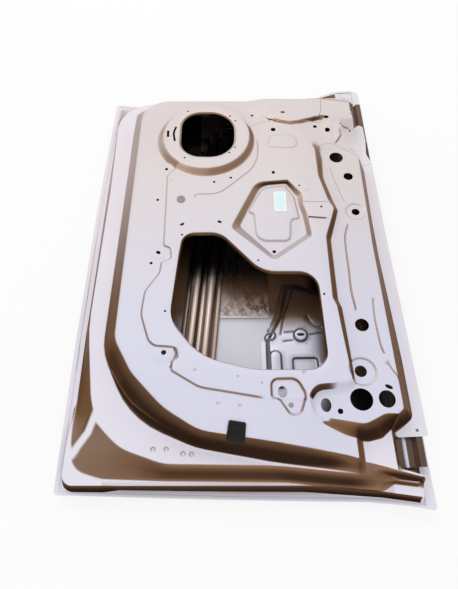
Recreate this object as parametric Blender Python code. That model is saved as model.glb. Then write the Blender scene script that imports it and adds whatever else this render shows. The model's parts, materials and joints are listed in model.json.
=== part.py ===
"""Front door shell of a car, without window frame, lying on its outer skin with the inner side up.

Plan directions: +X runs from the sill edge to the belt edge, +Y from the latch edge to the hinge edge,
+Z from the outer skin to the inner side. Outlines are given in millimetres as corner points with a
fillet radius, (x, y, radius), anticlockwise, and every pressed sheet is one height field over them.
"""
import math

import bpy
import bmesh
import numpy as np
from mathutils import Matrix, Vector, geometry

MM = 0.001

# Sheet gauges and the clearance that touching sheets keep
SKIN_GAUGE = 0.8
PANEL_GAUGE = 0.9
REINFORCEMENT_GAUGE = 1.2
PLATE_GAUGE = 6.0
PAD_GAUGE = 1.8
CLIP_GAUGE = 2.6
LABEL_GAUGE = 0.5
PLUG_HEIGHT = 2.2
SEAT_GAP = 0.3
BELT_SEAT_GAP = 1.1
NEST_GAP = 0.4
SEAM_GAP = 1.15
LATCH_GAP = 0.9

# The outer skin: half sizes at which its two crowns are stated, and the crowns themselves
CROWN_HALF_WIDTH = 361.0
CROWN_HALF_LENGTH = 570.0
CROWN_ACROSS = 21.0
CROWN_ALONG = 10.0

# Hem returns: how far the skin folds back over the inner panel on each edge
HEM_REAR = 6.5
HEM_BELT = 20.0
HEM_FRONT = 7.5
HEM_SILL = 10.0
PANEL_EDGE_INSET = 3.6
HEM_FOLDS = 3

# Heights of the terraces of the inner panel, above the floor
FACE_LEVEL = 125.0
LEDGE_FRONT_LEVEL = 48.0
LEDGE_REAR_LEVEL = 74.0
REAR_STEP_LEVEL = 50.0
SHOULDER_LEVEL = 109.0
STRIP_LEVEL = 56.0

# Depths and heights of the forms pressed into the main face
SPEAKER_RISE = 12.0
FIELD_RISE = 2.5
FRONT_BAND_RISE = 8.0
OVAL_RISE = 2.0
POCKET_DEPTH = 9.0
POCKET_STEP_RISE = 3.5
PAD_DEPTH = 5.0
APRON_DEPTH = 1.5
OPENING_LIP_DEPTH = 5.0
OPENING_LIP_WIDTH = 5.0
BOLT_SEAT_DEPTH = 1.6
REAR_DIP = 41.0
REAR_DIP_START = 50.0
REAR_NOTCH_DROP = 12.0
LEDGE_END_FALL = 18.0
REAR_NOTCH_STEP = (220.0, 232.0)
SILL_RIDGE_HALF = 2.5
SILL_RIDGE_REACH = 15.0
SILL_RIDGE = [(-288.0, -410.0), (-301.0, -449.0), (-319.0, -473.0), (-333.0, -496.0)]

# Main positions along the door
FRONT_FACE_Y = 419.0
FRONT_WALL_RUN = 18.0
STRIP_END_Y = -458.0
NOTCH_X = 293.0

# Weld nuts behind the trim holes
NUT_PLACES = [(-180.0, 171.0), (-195.0, 76.0), (33.0, 359.0)]
NUT_RADIUS = 8.0
NUT_BORE = 4.6
NUT_HEIGHT = 5.0

# Glass run channels: where they hang on the belt reinforcement, (x, y), the ends of their floors,
# (x, y, height), and their section
FRONT_SASH_TOP = (303.0, 416.0)
FRONT_SASH_FOOT = (-44.0, 396.0, 40.0)
REAR_SASH_TOP = (303.0, -486.0)
REAR_SASH_FOOT = (30.0, -474.0, 32.0)
SASH_WIDTH = 17.0
SASH_DEPTH = 15.0

# Belt reinforcements: the glass passes between them
BELT_INNER_DEPTH = 10.0
BELT_INNER_STEP = 4.0
BELT_OUTER_HEIGHT = 6.5

# Intrusion beam
BEAM_FRONT = (-52.0, 392.0)
BEAM_REAR = (-110.0, -430.0)
BEAM_WIDTH = 84.0
BEAM_DEPTH = 24.0
BEAM_CLEARANCE = 6.0
BEAM_GAUGE = 1.6

ARC_STEP = math.radians(22.5)
GRID_STEP = 62.0
NEST_GRID_STEP = 30.0
WALL_STEP = 54.0
RING_STEP = 48.0
BELT_REACH = 440.0


# Plan geometry

def smooth(value, start, end):
    """A soft change from 0 at start to 1 at end."""
    t = np.clip((value - start) / (end - start), 0.0, 1.0)
    return t * t * (3.0 - 2.0 * t)


def corner_arc(before, corner, after, step=ARC_STEP):
    """Points of the fillet at one corner, cut short where the sides leave no room."""
    p = np.array(corner[:2], float)
    a = np.array(before[:2], float) - p
    b = np.array(after[:2], float) - p
    length_a, length_b = np.hypot(*a), np.hypot(*b)
    a, b = a / length_a, b / length_b
    turn = math.pi - math.acos(np.clip(a @ b, -1.0, 1.0))
    if turn < 1e-3 or corner[2] <= 0.0:
        return [p]
    tangent = min(corner[2] * math.tan(turn / 2.0), 0.499 * length_a, 0.499 * length_b)
    radius = tangent / math.tan(turn / 2.0)
    middle = a + b
    middle = middle / np.hypot(*middle)
    centre = p + middle * math.hypot(radius, tangent)
    start = p + a * tangent - centre
    side = np.sign(a[0] * b[1] - a[1] * b[0])
    count = max(1, math.ceil(turn / step))
    points = []
    for k in range(count + 1):
        angle = -side * turn * k / count
        c, s = math.cos(angle), math.sin(angle)
        points.append(centre + np.array((c * start[0] - s * start[1], s * start[0] + c * start[1])))
    return points


def rounded(corners, step=ARC_STEP):
    """A closed outline from corner points with fillet radii."""
    points = []
    for k, corner in enumerate(corners):
        points += corner_arc(corners[k - 1], corner, corners[(k + 1) % len(corners)], step)
    return np.array(points)


def wall_line(corners):
    """A closed outline with extra points along its long sides, for a wall whose height varies."""
    outline = rounded(corners)
    points = []
    for k, here in enumerate(outline):
        following = outline[(k + 1) % len(outline)]
        parts = max(1, math.ceil(np.hypot(*(following - here)) / WALL_STEP))
        points += [here + (following - here) * j / parts for j in range(parts)]
    return np.array(points)


def inset(corners, distances):
    """The same corners with side k (from corner k to corner k + 1) moved inwards by distances[k]."""
    count = len(corners)
    if not hasattr(distances, "__len__"):
        distances = [distances] * count
    moved = []
    for k in range(count):
        previous, here, following = corners[k - 1], corners[k], corners[(k + 1) % count]
        d0, d1 = distances[k - 1], distances[k]
        u0 = np.array((here[0] - previous[0], here[1] - previous[1]), float)
        u1 = np.array((following[0] - here[0], following[1] - here[1]), float)
        u0, u1 = u0 / np.hypot(*u0), u1 / np.hypot(*u1)
        n0, n1 = np.array((-u0[1], u0[0])), np.array((-u1[1], u1[0]))
        cross = u0[0] * u1[1] - u0[1] * u1[0]
        p = np.array(here[:2], float)
        if abs(cross) < 1e-6:
            q = p + n0 * d0
        else:
            q = p + (n0 * d0 + u0 * ((d1 - (n0 @ n1) * d0) / (u0 @ n1)))
        turn = min(d0, d1) if cross > 0.0 else -max(d0, d1)
        moved.append((q[0], q[1], max(here[2] - turn, 0.4)))
    return moved


def circle(x, y, radius, count=12, stretch=1.0, angle=0.0):
    """A round or oval outline; stretch is the length over the width, along the given angle."""
    turns = [2.0 * math.pi * k / count for k in range(count)]
    c, s = math.cos(angle), math.sin(angle)
    flat = [(radius * stretch * math.cos(t), radius * math.sin(t)) for t in turns]
    return np.array([(x + c * u - s * v, y + s * u + c * v) for u, v in flat])


def inside(points, outline):
    """Which points lie inside a closed outline."""
    x, y = points[:, 0][:, None], points[:, 1][:, None]
    x0, y0 = outline[:, 0][None, :], outline[:, 1][None, :]
    x1, y1 = np.roll(x0, -1, 1), np.roll(y0, -1, 1)
    spans = (y0 > y) != (y1 > y)
    rise = np.where(y1 == y0, 1e-12, y1 - y0)
    hits = spans & (x < (x1 - x0) * (y - y0) / rise + x0)
    return hits.sum(1) % 2 == 1


def distance(points, outline):
    """How far each point lies from a closed outline."""
    p = points[:, None, :]
    a = outline[None, :, :]
    b = np.roll(outline, -1, 0)[None, :, :]
    ab = b - a
    t = np.clip(((p - a) * ab).sum(2) / np.maximum((ab ** 2).sum(2), 1e-12), 0.0, 1.0)
    return np.sqrt((((a + ab * t[..., None]) - p) ** 2).sum(2)).min(1)


class Form:
    """One pressed form: nothing outside its foot line, its full level inside its edge line."""

    def __init__(self, foot, edge, level):
        self.foot = foot
        self.edge = edge
        self.level = level

    def apply(self, points, z):
        near_foot, near_edge = distance(points, self.foot), distance(points, self.edge)
        share = near_foot / np.maximum(near_foot + near_edge, 1e-9)
        share = np.where(inside(points, self.edge), 1.0, share)
        share = np.where(inside(points, self.foot), share, 0.0)
        return z + (self.level(points, z) - z) * share


def raised(amount):
    """A level that follows the surface below it, a stated amount higher or lower."""
    return lambda points, z: z + amount


def pressed(points, base, forms):
    """The height of a pressed sheet: its base with each form applied in turn."""
    z = base(points)
    for form in forms:
        z = form.apply(points, z)
    return z


# The outer skin's outline and the surface that everything is built up from

SKIN_CORNERS = [
    (-360.0, -560.0, 8.0),
    (273.0, -572.0, 500.0),
    (361.0, -587.0, 6.0),
    (361.0, -440.0, 300.0),
    (351.0, 40.0, 1500.0),
    (358.0, 560.0, 14.0),
    (338.0, 573.0, 12.0),
    (286.0, 575.0, 60.0),
    (150.0, 521.0, 250.0),
    (-60.0, 511.0, 600.0),
    (-357.0, 511.0, 6.0),
    (-367.0, 140.0, 1500.0),
    (-367.0, -240.0, 1500.0),
]
HEM_WIDTHS = [HEM_REAR, HEM_REAR] + [HEM_BELT] * 3 + [HEM_FRONT] * 5 + [HEM_SILL] * 3


def skin_underside(points):
    """Height of the skin's outer face: a crown across and a shallower one along the door."""
    across = CROWN_ACROSS * (points[:, 0] / CROWN_HALF_WIDTH) ** 2
    return across + CROWN_ALONG * (points[:, 1] / CROWN_HALF_LENGTH) ** 2


def flange_top(points):
    """Upper face of the inner panel where it lies on the skin, inside the hem."""
    return skin_underside(points) + SKIN_GAUGE + SEAT_GAP + PANEL_GAUGE


# Lines of the inner panel's terraces: foot and edge of the three walls that run round it

REAR_STEP_FOOT = wall_line([(-347, -553, 24), (-268, -553, 20), (-238, -549, 20), (120, -551, 200),
                            (262, -562, 60), (450, -588, 0), (450, 502, 0), (-347, 500, 8)])
REAR_STEP_EDGE = wall_line([(-344.5, -546, 22), (120, -546, 200), (262, -556.5, 60), (450, -581, 0),
                            (450, 501, 0), (-345.5, 499, 8)])
WALL_TWO_FOOT = wall_line([(-343.5, -420, 120), (-330, -520, 40), (-268, -536, 60), (80, -539, 100),
                           (150, -546, 60), (258, -554, 20), (282, -542, 12), (450, -562, 0),
                           (450, 560, 0), (292, 560, 30), (130, 502, 120), (-344.5, 496, 8)])
WALL_TWO_EDGE = wall_line([(-331.5, -230, 400), (-302, -384, 120), (-284, -432, 40), (-232, -481, 90),
                           (-150, -511, 90), (60, -514, 300), (236, -531, 60),
                           (450, -556, 0), (450, 545, 0), (290, 543, 30), (130, 494, 120),
                           (-341, 494, 95), (-333, 160, 400)])
WALL_ONE_FOOT = wall_line([(-291, -285, 150), (-222, -428, 260), (-90, -480, 200), (60, -507, 400),
                           (238, -528, 40), (450, -553, 0), (450, FRONT_FACE_Y + FRONT_WALL_RUN, 0),
                           (-190, FRONT_FACE_Y + FRONT_WALL_RUN, 60), (-236, 466, 30), (-291, 466, 52)])
WALL_ONE_EDGE = wall_line([(-258, -278, 60), (-218, -347, 80), (-150, -418, 150), (-84, -461, 90),
                           (60, -482, 200), (205, -501, 200), (280, -521, 60), (450, -562, 0),
                           (450, FRONT_FACE_Y, 0), (-256, FRONT_FACE_Y, 76)])


def rear_step_level(points, z):
    """The low step along the rear edge, which runs out into the flange beside the sill wall."""
    share = smooth(points[:, 1], -380.0, -480.0)
    return z + (REAR_STEP_LEVEL - z) * share


def ledge_level(points, z):
    """The seal ledge, which climbs from the front to the rear and falls again towards the belt edge."""
    share = smooth(points[:, 1], 470.0, -480.0)
    fall = LEDGE_END_FALL * smooth(points[:, 0], 190.0, 285.0) * share
    return LEDGE_FRONT_LEVEL + (LEDGE_REAR_LEVEL - LEDGE_FRONT_LEVEL) * share - fall + 0.0 * z


def ridge_level(points, z):
    """The crest that runs down from the ledge's rear corner to the low step."""
    start, end = np.array(SILL_RIDGE[0]), np.array(SILL_RIDGE[-1])
    along = (points - start) @ (end - start) / ((end - start) @ (end - start))
    return LEDGE_REAR_LEVEL - (LEDGE_REAR_LEVEL - REAR_STEP_LEVEL) * np.clip(along, 0.0, 1.0) + 0.0 * z


def ribbon(line, half):
    """A closed outline round a line of points, half a width to either side."""
    line = np.array(line)
    along = np.gradient(line, axis=0)
    side = np.column_stack((-along[:, 1], along[:, 0])) / np.hypot(*along.T)[:, None]
    return np.vstack((line - side * half, (line + side * half)[::-1]))


# Forms of the main face

ACCESS_OPENING = [(-147, -236, 75), (-84, -316, 120), (20, -343, 160), (165, -343, 36),
                  (160, -127, 38), (42, -127, 70), (-48, -24, 48), (-129, -26, 26), (-136, -90, 60)]
SPEAKER_OPENING = [(-148, 205, 50), (-14, 201, 62), (-14, 355, 62), (-148, 355, 50)]
FIELD = [(-141, -347, 8), (-85, -381, 60), (-26, -391, 60), (50, -404, 6), (240, -404, 0),
         (240, 336, 0), (60, 338, 20), (45, 230, 60), (20, 160, 30), (-30, 112, 60),
         (-112, 88, 6), (-122, 142, 6), (-174, 142, 6), (-174, -56, 8), (-159, -62, 7),
         (-155, -88, 9), (-176, -98, 6), (-178, -125, 30), (-206, -170, 40), (-210, -225, 60),
         (-186, -296, 30), (-133, -300, 8), (-129, -320, 6), (-141, -325, 4)]
APRON = [(-110, 80, 6), (-32, 108, 60), (24, 156, 30), (50, 228, 60), (50, 320, 30), (-110, 320, 0)]
BAND_FOOT = [(58, 346, 10), (84, 334, 8), (131, 321, 10), (156, 328, 8), (200, 346, 8), (224, 232, 30),
             (BELT_REACH, 220, 0), (BELT_REACH, 600, 0), (20, 600, 0), (20, 380, 20)]
BAND_EDGE = [(92, 357, 8), (98, 346, 6), (131, 337, 14), (152, 337, 10), (206, 361, 20), (264, 350, 30),
             (304, 236, 30), (BELT_REACH, 232, 0), (BELT_REACH, 600, 0), (70, 600, 0), (66, 392, 20)]
POCKET_EDGE = [(72, -94, 12), (160, -27, 14), (154, 32, 30), (147, 62, 30), (147, 94, 10),
               (113, 136, 7), (36, 128, 34), (-24, -6, 14)]
POCKET_FLOOR = [(71, -79, 9), (148, -20, 9), (142, 34, 30), (135, 60, 30), (132, 89, 8),
                (109, 131, 6), (50, 125, 34), (-3, 4, 11)]
POCKET_STEP = [(29, 36, 5), (33, -40, 28), (112, -40, 16), (117, 20, 8), (136, 24, 4),
               (128, 88, 8), (107, 124, 6), (52, 117, 30), (14, 44, 8)]
PAD = [(51, -401, 6), (66, -403, 10), (88, -433, 13), (107, -426, 12), (119, -394, 16),
       (104, -361, 14), (51, -361, 13)]
OVAL = [(66, 242, 8), (106, 238, 24), (146, 240, 16), (142, 287, 24), (76, 287, 24)]
SHOULDER_FOOT = [(130, -426, 10), (141, -438, 20), (190, -461, 60), (236, -471, 26), (266, -464, 16),
                 (286, -446, 14), (331, -430, 12), (BELT_REACH, -430, 0), (BELT_REACH, 352, 0), (222, 352, 6),
                 (158, 329, 8), (147, 314, 6), (187, 238, 12), (189, 150, 60), (205, 76, 30),
                 (217, 50, 10), (208, 20, 12), (191, -30, 30), (190, -186, 12), (197, -204, 12),
                 (206, -374, 12), (138, -374, 26), (124, -396, 18)]
SHOULDER_EDGE = [(141, -432, 6), (228, -444, 30), (262, -427, 30), (304, -409, 14),
                 (BELT_REACH, -404, 0), (BELT_REACH, 224, 0), (302, 227, 20), (257, 246, 20),
                 (208, 246, 10), (203, 158, 60),
                 (218, 92, 30), (228, 56, 9), (218, 22, 12), (203, -28, 30), (203, -184, 12),
                 (209, -202, 12), (213, -383, 12), (152, -384, 24), (136, -402, 14)]
STRIP_FOOT = [(266, -440, 20), (262, -520, 0), (BELT_REACH, -520, 0), (BELT_REACH, 440, 0),
              (296, 440, 0), (296, 370, 4), (260, 358, 12), (268, 272, 24), (300, 230, 16), (299, 60, 200),
              (298, -40, 200), (304, -416, 8), (290, -424, 12)]
STRIP_EDGE = [(293, -445, 6), (299, -506, 0), (BELT_REACH, -506, 0), (BELT_REACH, 430, 0),
              (310, 430, 0), (312, 372, 8), (326, 350, 24), (331, 300, 40), (326, 255, 20), (324, 60, 200),
              (325, -40, 200), (336, -300, 300), (337, -420, 20), (312, -439, 14)]


def rear_dip(points, z):
    """Behind the shoulder the main face falls towards the belt edge, with one step down."""
    behind = smooth(points[:, 1], -395.0, -450.0)
    start, end = REAR_NOTCH_STEP
    fall = REAR_DIP * np.clip((points[:, 0] - REAR_DIP_START) / (start - REAR_DIP_START), 0.0, 1.0) ** 1.4
    drop = REAR_NOTCH_DROP * np.clip((points[:, 0] - start) / (end - start), 0.0, 1.0)
    return z - (fall + drop) * behind


def to_level(level):
    """A level at one height above the floor, whatever lies below it."""
    return lambda points, z: np.full(len(points), float(level))


def face_forms():
    """Every form pressed into the main face, in the order in which it is applied."""
    speaker_foot = circle(-86, 266, 121, 40)
    speaker_edge = circle(-84, 276, 109, 40)
    lip = inset(ACCESS_OPENING, -OPENING_LIP_WIDTH)
    speaker_lip = inset(SPEAKER_OPENING, -4.0)
    everywhere = rounded([(-BELT_REACH, -700, 0), (BELT_REACH + 20, -700, 0),
                          (BELT_REACH + 20, 700, 0), (-BELT_REACH, 700, 0)])
    return [
        Form(everywhere, everywhere, rear_dip),
        Form(rounded(FIELD), rounded(inset(FIELD, 4.0)), raised(FIELD_RISE)),
        Form(rounded(APRON), rounded(inset(APRON, 4.0)), raised(-APRON_DEPTH)),
        Form(rounded(BAND_FOOT), rounded(BAND_EDGE), to_level(FACE_LEVEL + FRONT_BAND_RISE)),
        Form(speaker_foot, speaker_edge, to_level(FACE_LEVEL + SPEAKER_RISE)),
        Form(rounded(speaker_lip), rounded(SPEAKER_OPENING), raised(-3.0)),
        Form(rounded(POCKET_EDGE), rounded(POCKET_FLOOR), raised(-POCKET_DEPTH)),
        Form(rounded(POCKET_STEP), rounded(inset(POCKET_STEP, 4.0)), raised(POCKET_STEP_RISE)),
        Form(rounded(OVAL), rounded(inset(OVAL, 4.0)), raised(OVAL_RISE)),
        Form(rounded(PAD), rounded(inset(PAD, 5.5)), raised(-PAD_DEPTH)),
        Form(wall_line(SHOULDER_FOOT), wall_line(SHOULDER_EDGE), to_level(SHOULDER_LEVEL)),
        Form(circle(271, 54, 25, 20), circle(271, 54, 21, 20), raised(-BOLT_SEAT_DEPTH)),
        Form(circle(234, -342, 30, 20), circle(234, -342, 26, 20), raised(-BOLT_SEAT_DEPTH)),
        Form(wall_line(STRIP_FOOT), wall_line(STRIP_EDGE), to_level(STRIP_LEVEL)),
        Form(rounded(lip), rounded(ACCESS_OPENING), raised(-OPENING_LIP_DEPTH)),
    ]


FACE_FORMS = face_forms()


def face_level(points, z):
    """Height of the main face with all its forms."""
    return pressed(points, lambda p: np.full(len(p), FACE_LEVEL), FACE_FORMS)


PANEL_FORMS = [
    Form(REAR_STEP_FOOT, REAR_STEP_EDGE, rear_step_level),
    Form(WALL_TWO_FOOT, WALL_TWO_EDGE, ledge_level),
    Form(ribbon(SILL_RIDGE, SILL_RIDGE_REACH), ribbon(SILL_RIDGE, SILL_RIDGE_HALF), ridge_level),
    Form(WALL_ONE_FOOT, WALL_ONE_EDGE, face_level),
]


def panel_height(points):
    """Upper face of the inner panel."""
    return pressed(points, flange_top, PANEL_FORMS)


# Holes through the inner panel: (x, y, radius, length over width, angle)

BIG_HOLES = [
    (243, 226, 17, 1.0, 0), (266, 163, 11.5, 1.0, 0), (271, 54, 9.5, 1.0, 0),
    (247, -241, 14.5, 1.0, 0), (232, -341, 12, 1.0, 0), (226, -398, 22, 1.0, 0),
    (275, -397, 16, 1.08, 90), (157, -409, 10, 1.35, 90),
]
SMALL_HOLES = [
    (-180, 171, 4, 1.0, 0), (-195, 76, 3.5, 1.0, 0), (-63, 129, 3.2, 1.0, 0), (-23, 142, 3.2, 1.0, 0),
    (33, 359, 3.6, 1.0, 0), (86, 305, 6.4, 1.0, 0), (113, 363, 3.4, 1.8, 0), (80, 159, 4, 1.2, 90),
    (-134, 3, 3.4, 1.6, 30), (-49, 10, 3.4, 1.6, 150), (-183, -73, 4, 1.4, 150),
    (-197, -100, 3.4, 1.0, 0), (-156, -309, 5.2, 1.0, 0), (187, 54, 2.8, 1.0, 0),
    (73, -66, 4.2, 1.0, 0), (89, -412, 5.2, 1.0, 0), (74, -388, 9, 1.3, 90),
    (282, -373, 4, 2.0, 155), (183, -421, 5.4, 1.0, 0), (341, -444, 3.2, 1.0, 0),
    (-174, 262, 3, 2.0, 90), (-158, 262, 2.2, 4.2, 80),
]
MIRROR_HOLES = [
    (195, 320, 4.2, 1.2, 0), (226, 348, 3.4, 1.8, 0), (227, 311, 6.6, 1.0, 0), (315, 326, 3.2, 1.0, 0),
    (290, 325, 2.6, 1.0, 0), (289, 262, 3.6, 1.0, 0),
]
BELT_OUTLINE = [
    (NOTCH_X, -518, 3), (NOTCH_X, STRIP_END_Y, 2), (361, STRIP_END_Y + 3, 4), (360, -400, 60),
    (356, -159, 300), (352, 20, 300), (351, 259, 3),
]
MIRROR_SEAM = [(299, 231, 4), (274, 247, 10), (257, 257, 10), (233, 270, 20), (206, 262, 4), (189, 240, 3),
               (148, 314, 6), (157, 326, 6), (206, 345.5, 5), (213, 372, 3), (216, 413.5, 2), (291, 401.5, 2)]
MIRROR_FREE_EDGE = [(351, 259, 3), (341, 290, 12), (346, 340, 20), (345, 393, 5), (333, 400, 4),
                    (317, 386, 6), (309, 365, 6), (291, 365, 4)]


def oval_holes(rows, count):
    """Outlines of a list of round or oval holes."""
    return [circle(x, y, r, count, stretch, math.radians(angle)) for x, y, r, stretch, angle in rows]


def panel_outline():
    """Edge of the inner panel: inside the hem on three sides, free along the belt edge."""
    edge = inset(SKIN_CORNERS, PANEL_EDGE_INSET)
    rear = [edge[0], edge[1], (334, edge[1][1] - 9.5, 3), (336, -531, 3)]
    front = [(291, 569.5, 4), (282, 570, 30)]
    return rear + BELT_OUTLINE + MIRROR_SEAM + front + edge[8:]


# Building sheets

def triangulate(outline, holes, lines, grid_step):
    """Constrained triangulation of a flat region, keeping every line as edges."""
    outline = outline.astype(np.float32).astype(float)
    loops = [outline] + holes + lines
    points, edges = [], []
    for loop in loops:
        first = len(points)
        points += [tuple(p) for p in loop]
        edges += [(first + k, first + (k + 1) % len(loop)) for k in range(len(loop))]
    fixed = np.array(points)
    low, high = outline.min(0), outline.max(0)
    across = np.arange(math.ceil(low[0] / grid_step), math.floor(high[0] / grid_step) + 1) * grid_step
    along = np.arange(math.ceil(low[1] / grid_step), math.floor(high[1] / grid_step) + 1) * grid_step
    grid = np.array([(x, y) for x in across for y in along])
    if len(grid):
        gap = np.sqrt(((grid[:, None, :] - fixed[None, :, :]) ** 2).sum(2)).min(1)
        grid = grid[(gap > grid_step * 0.3) & inside(grid, outline)]
        points += [tuple(p) for p in grid]
    result = geometry.delaunay_2d_cdt([Vector(p) for p in points], edges, [], 0, 0.02)
    flat = np.array([tuple(v) for v in result[0]])
    faces = np.array(result[2])
    centres = flat[faces].mean(1)
    keep = inside(centres, outline)
    for hole in holes:
        keep &= ~inside(centres, hole)
    faces = faces[keep]
    used = np.unique(faces)
    index = np.full(len(flat), -1)
    index[used] = np.arange(len(used))
    return flat[used], index[faces]


def make_material(name, colour, roughness, metallic=0.0):
    """A plain Principled material."""
    material = bpy.data.materials.get(name) or bpy.data.materials.new(name)
    material.use_nodes = True
    shader = material.node_tree.nodes["Principled BSDF"]
    shader.inputs["Base Color"].default_value = (*colour, 1.0)
    shader.inputs["Roughness"].default_value = roughness
    shader.inputs["Metallic"].default_value = metallic
    return material


def primer():
    return make_material("primer", (0.80, 0.76, 0.76), 0.35, 0.1)


def electrocoat():
    return make_material("electrocoat", (0.20, 0.12, 0.07), 0.35, 0.2)


def black_plastic():
    return make_material("black_plastic", (0.012, 0.012, 0.014), 0.45)


def grey_rubber():
    return make_material("grey_rubber", (0.32, 0.31, 0.33), 0.6)


def pad_bitumen():
    return make_material("pad_bitumen", (0.55, 0.56, 0.60), 0.7)


def label_paper():
    return make_material("label_paper", (0.72, 0.90, 0.90), 0.6)


def zinc():
    return make_material("zinc", (0.45, 0.42, 0.38), 0.4, 0.8)


def add_object(name, points, faces, material, gauge=0.0, offset=-1.0):
    """A named object from points in millimetres; a gauge turns a sheet into a solid."""
    mesh = bpy.data.meshes.new(name)
    places = [tuple(float(c) * MM for c in p) for p in points]
    mesh.from_pydata(places, [], [[int(k) for k in face] for face in faces])
    bm = bmesh.new()
    bm.from_mesh(mesh)
    bmesh.ops.remove_doubles(bm, verts=bm.verts, dist=0.00001)
    if not gauge:
        bmesh.ops.recalc_face_normals(bm, faces=bm.faces)
    bm.to_mesh(mesh)
    bm.free()
    mesh.shade_smooth()
    mesh.set_sharp_from_angle(angle=math.radians(30.0))
    mesh.materials.append(material)
    item = bpy.data.objects.new(name, mesh)
    bpy.context.scene.collection.objects.link(item)
    if gauge:
        solid = item.modifiers.new("gauge", "SOLIDIFY")
        solid.thickness = gauge * MM
        solid.offset = offset
        solid.use_even_offset = False
    return item


def raised_plan(outline, holes, lines, height, grid_step):
    """Points and upward faces of a triangulated plan raised to its height."""
    flat, faces = triangulate(outline, holes, lines, grid_step)
    points = np.column_stack((flat, height(flat)))
    corner = points[faces]
    normal = np.cross(corner[:, 1] - corner[:, 0], corner[:, 2] - corner[:, 0])
    return points, np.where((normal[:, 2] < 0.0)[:, None], faces[:, ::-1], faces)


def sheet(name, outline, holes, lines, height, gauge, material, grid_step=GRID_STEP):
    """A pressed sheet: its height is that of its upper face, and its gauge goes down from there."""
    points, faces = raised_plan(outline, holes, lines, height, grid_step)
    return add_object(name, points, faces, material, gauge)


def form_lines(forms):
    """Foot and edge lines of a list of forms."""
    lines = []
    for form in forms:
        lines.append(form.foot)
        if form.edge is not form.foot:
            lines.append(form.edge)
    return lines


def sheet_offset(points, faces, amount):
    """A sheet moved along its own normals, so that it seats on the one that it follows."""
    bm = bmesh.new()
    verts = [bm.verts.new(p) for p in points]
    for face in faces:
        bm.faces.new([verts[k] for k in face])
    bm.normal_update()
    moved = [v.co + v.normal * amount * v.calc_shell_factor() for v in verts]
    bm.free()
    return [tuple(p) for p in moved]


def nested_sheet(name, outline, holes, lines, amount, gauge, material):
    """A sheet that follows the inner panel, its own upper face offset by amount from the panel's."""
    points, faces = raised_plan(outline, holes, lines, panel_height, NEST_GRID_STEP)
    return add_object(name, sheet_offset(points, faces, amount), faces, material, gauge)


def swept_sheet(name, section, stations, frame, gauge, material):
    """A folded strip: an open section carried along stations, its gauge half to either side."""
    points, faces = [], []
    count = len(section)
    for station in stations:
        points += [frame(station, u, v) for u, v in section]
    for i in range(len(stations) - 1):
        for k in range(count - 1):
            a = i * count + k
            faces.append((a, a + 1, a + count + 1, a + count))
    return add_object(name, points, faces, material, gauge, 0.0)


def prism(name, outline, low, high, material):
    """A plate with vertical sides between two heights."""
    count = len(outline)
    points = [(*p, low) for p in outline] + [(*p, high) for p in outline]
    faces = [tuple(range(count))[::-1], tuple(range(count, 2 * count))]
    faces += [(k, (k + 1) % count, (k + 1) % count + count, k + count) for k in range(count)]
    return add_object(name, points, faces, material)


# The pieces

def ring_points(corners, reference):
    """An outline with the same number of points as the reference one, side for side."""
    def arc(rows, k):
        return corner_arc(rows[k - 1], rows[k % len(rows)], rows[(k + 1) % len(rows)])

    points = []
    for k in range(len(corners)):
        here, following = arc(corners, k), arc(corners, k + 1)
        wanted_here, wanted_next = arc(reference, k), arc(reference, k + 1)
        points += here
        gap = np.hypot(*(wanted_next[0] - wanted_here[-1]))
        extra = max(1, math.ceil(gap / RING_STEP))
        points += [here[-1] + (following[0] - here[-1]) * j / extra for j in range(1, extra)]
    return np.array(points)


def outer_skin():
    """The outer panel: a crowned sheet whose edge folds back over the inner panel all round."""
    mid = SKIN_GAUGE / 2.0
    fold = (SKIN_GAUGE + PANEL_GAUGE + 2.0 * SEAT_GAP) / 2.0
    inner = inset(SKIN_CORNERS, mid + fold)
    base = ring_points(inner, inner)
    flat, faces = triangulate(base, [], [], GRID_STEP)
    z = skin_underside(flat) + mid
    points = [(*p, h) for p, h in zip(flat, z)]
    faces = [tuple(f) for f in faces]
    corner = flat[np.array(faces)]
    turn = np.cross(corner[:, 1] - corner[:, 0], corner[:, 2] - corner[:, 0])
    faces = [f if t > 0 else f[::-1] for f, t in zip(faces, turn)]
    widths = [w - mid for w in HEM_WIDTHS]
    rings = []
    for step in range(HEM_FOLDS + 1):
        angle = math.pi * step / HEM_FOLDS
        reach = mid + fold - fold * math.sin(angle)
        ring = ring_points(inset(SKIN_CORNERS, reach), inner)
        rings.append(np.column_stack((ring, skin_underside(ring) + mid + fold * (1.0 - math.cos(angle)))))
    last = ring_points(inset(SKIN_CORNERS, widths), inner)
    rings.append(np.column_stack((last, skin_underside(last) + mid + 2.0 * fold)))
    count = len(base)
    for ring in rings:
        first = len(points)
        points += [tuple(p) for p in ring]
        if first > len(flat):
            for k in range(count):
                j = (k + 1) % count
                faces.append((first - count + k, first + k, first + j, first - count + j))
    return add_object("outer_skin", points, faces, primer(), SKIN_GAUGE, 0.0)


def inner_panel():
    """The deep pressed inner panel with its terraces, openings and holes, one sheet."""
    holes = [rounded(ACCESS_OPENING), rounded(SPEAKER_OPENING)]
    holes += oval_holes(BIG_HOLES, 20) + oval_holes(SMALL_HOLES, 8) + front_wall_holes()
    lines = form_lines(PANEL_FORMS) + form_lines(FACE_FORMS)
    lines += [np.array([(x, -600.0), (x, -440.0)]) for x in REAR_NOTCH_STEP]
    return sheet("inner_panel", wall_line(panel_outline()), holes, lines, panel_height, PANEL_GAUGE, primer())


# Hinges and check link on the front wall: position along the wall from the sill side

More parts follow.
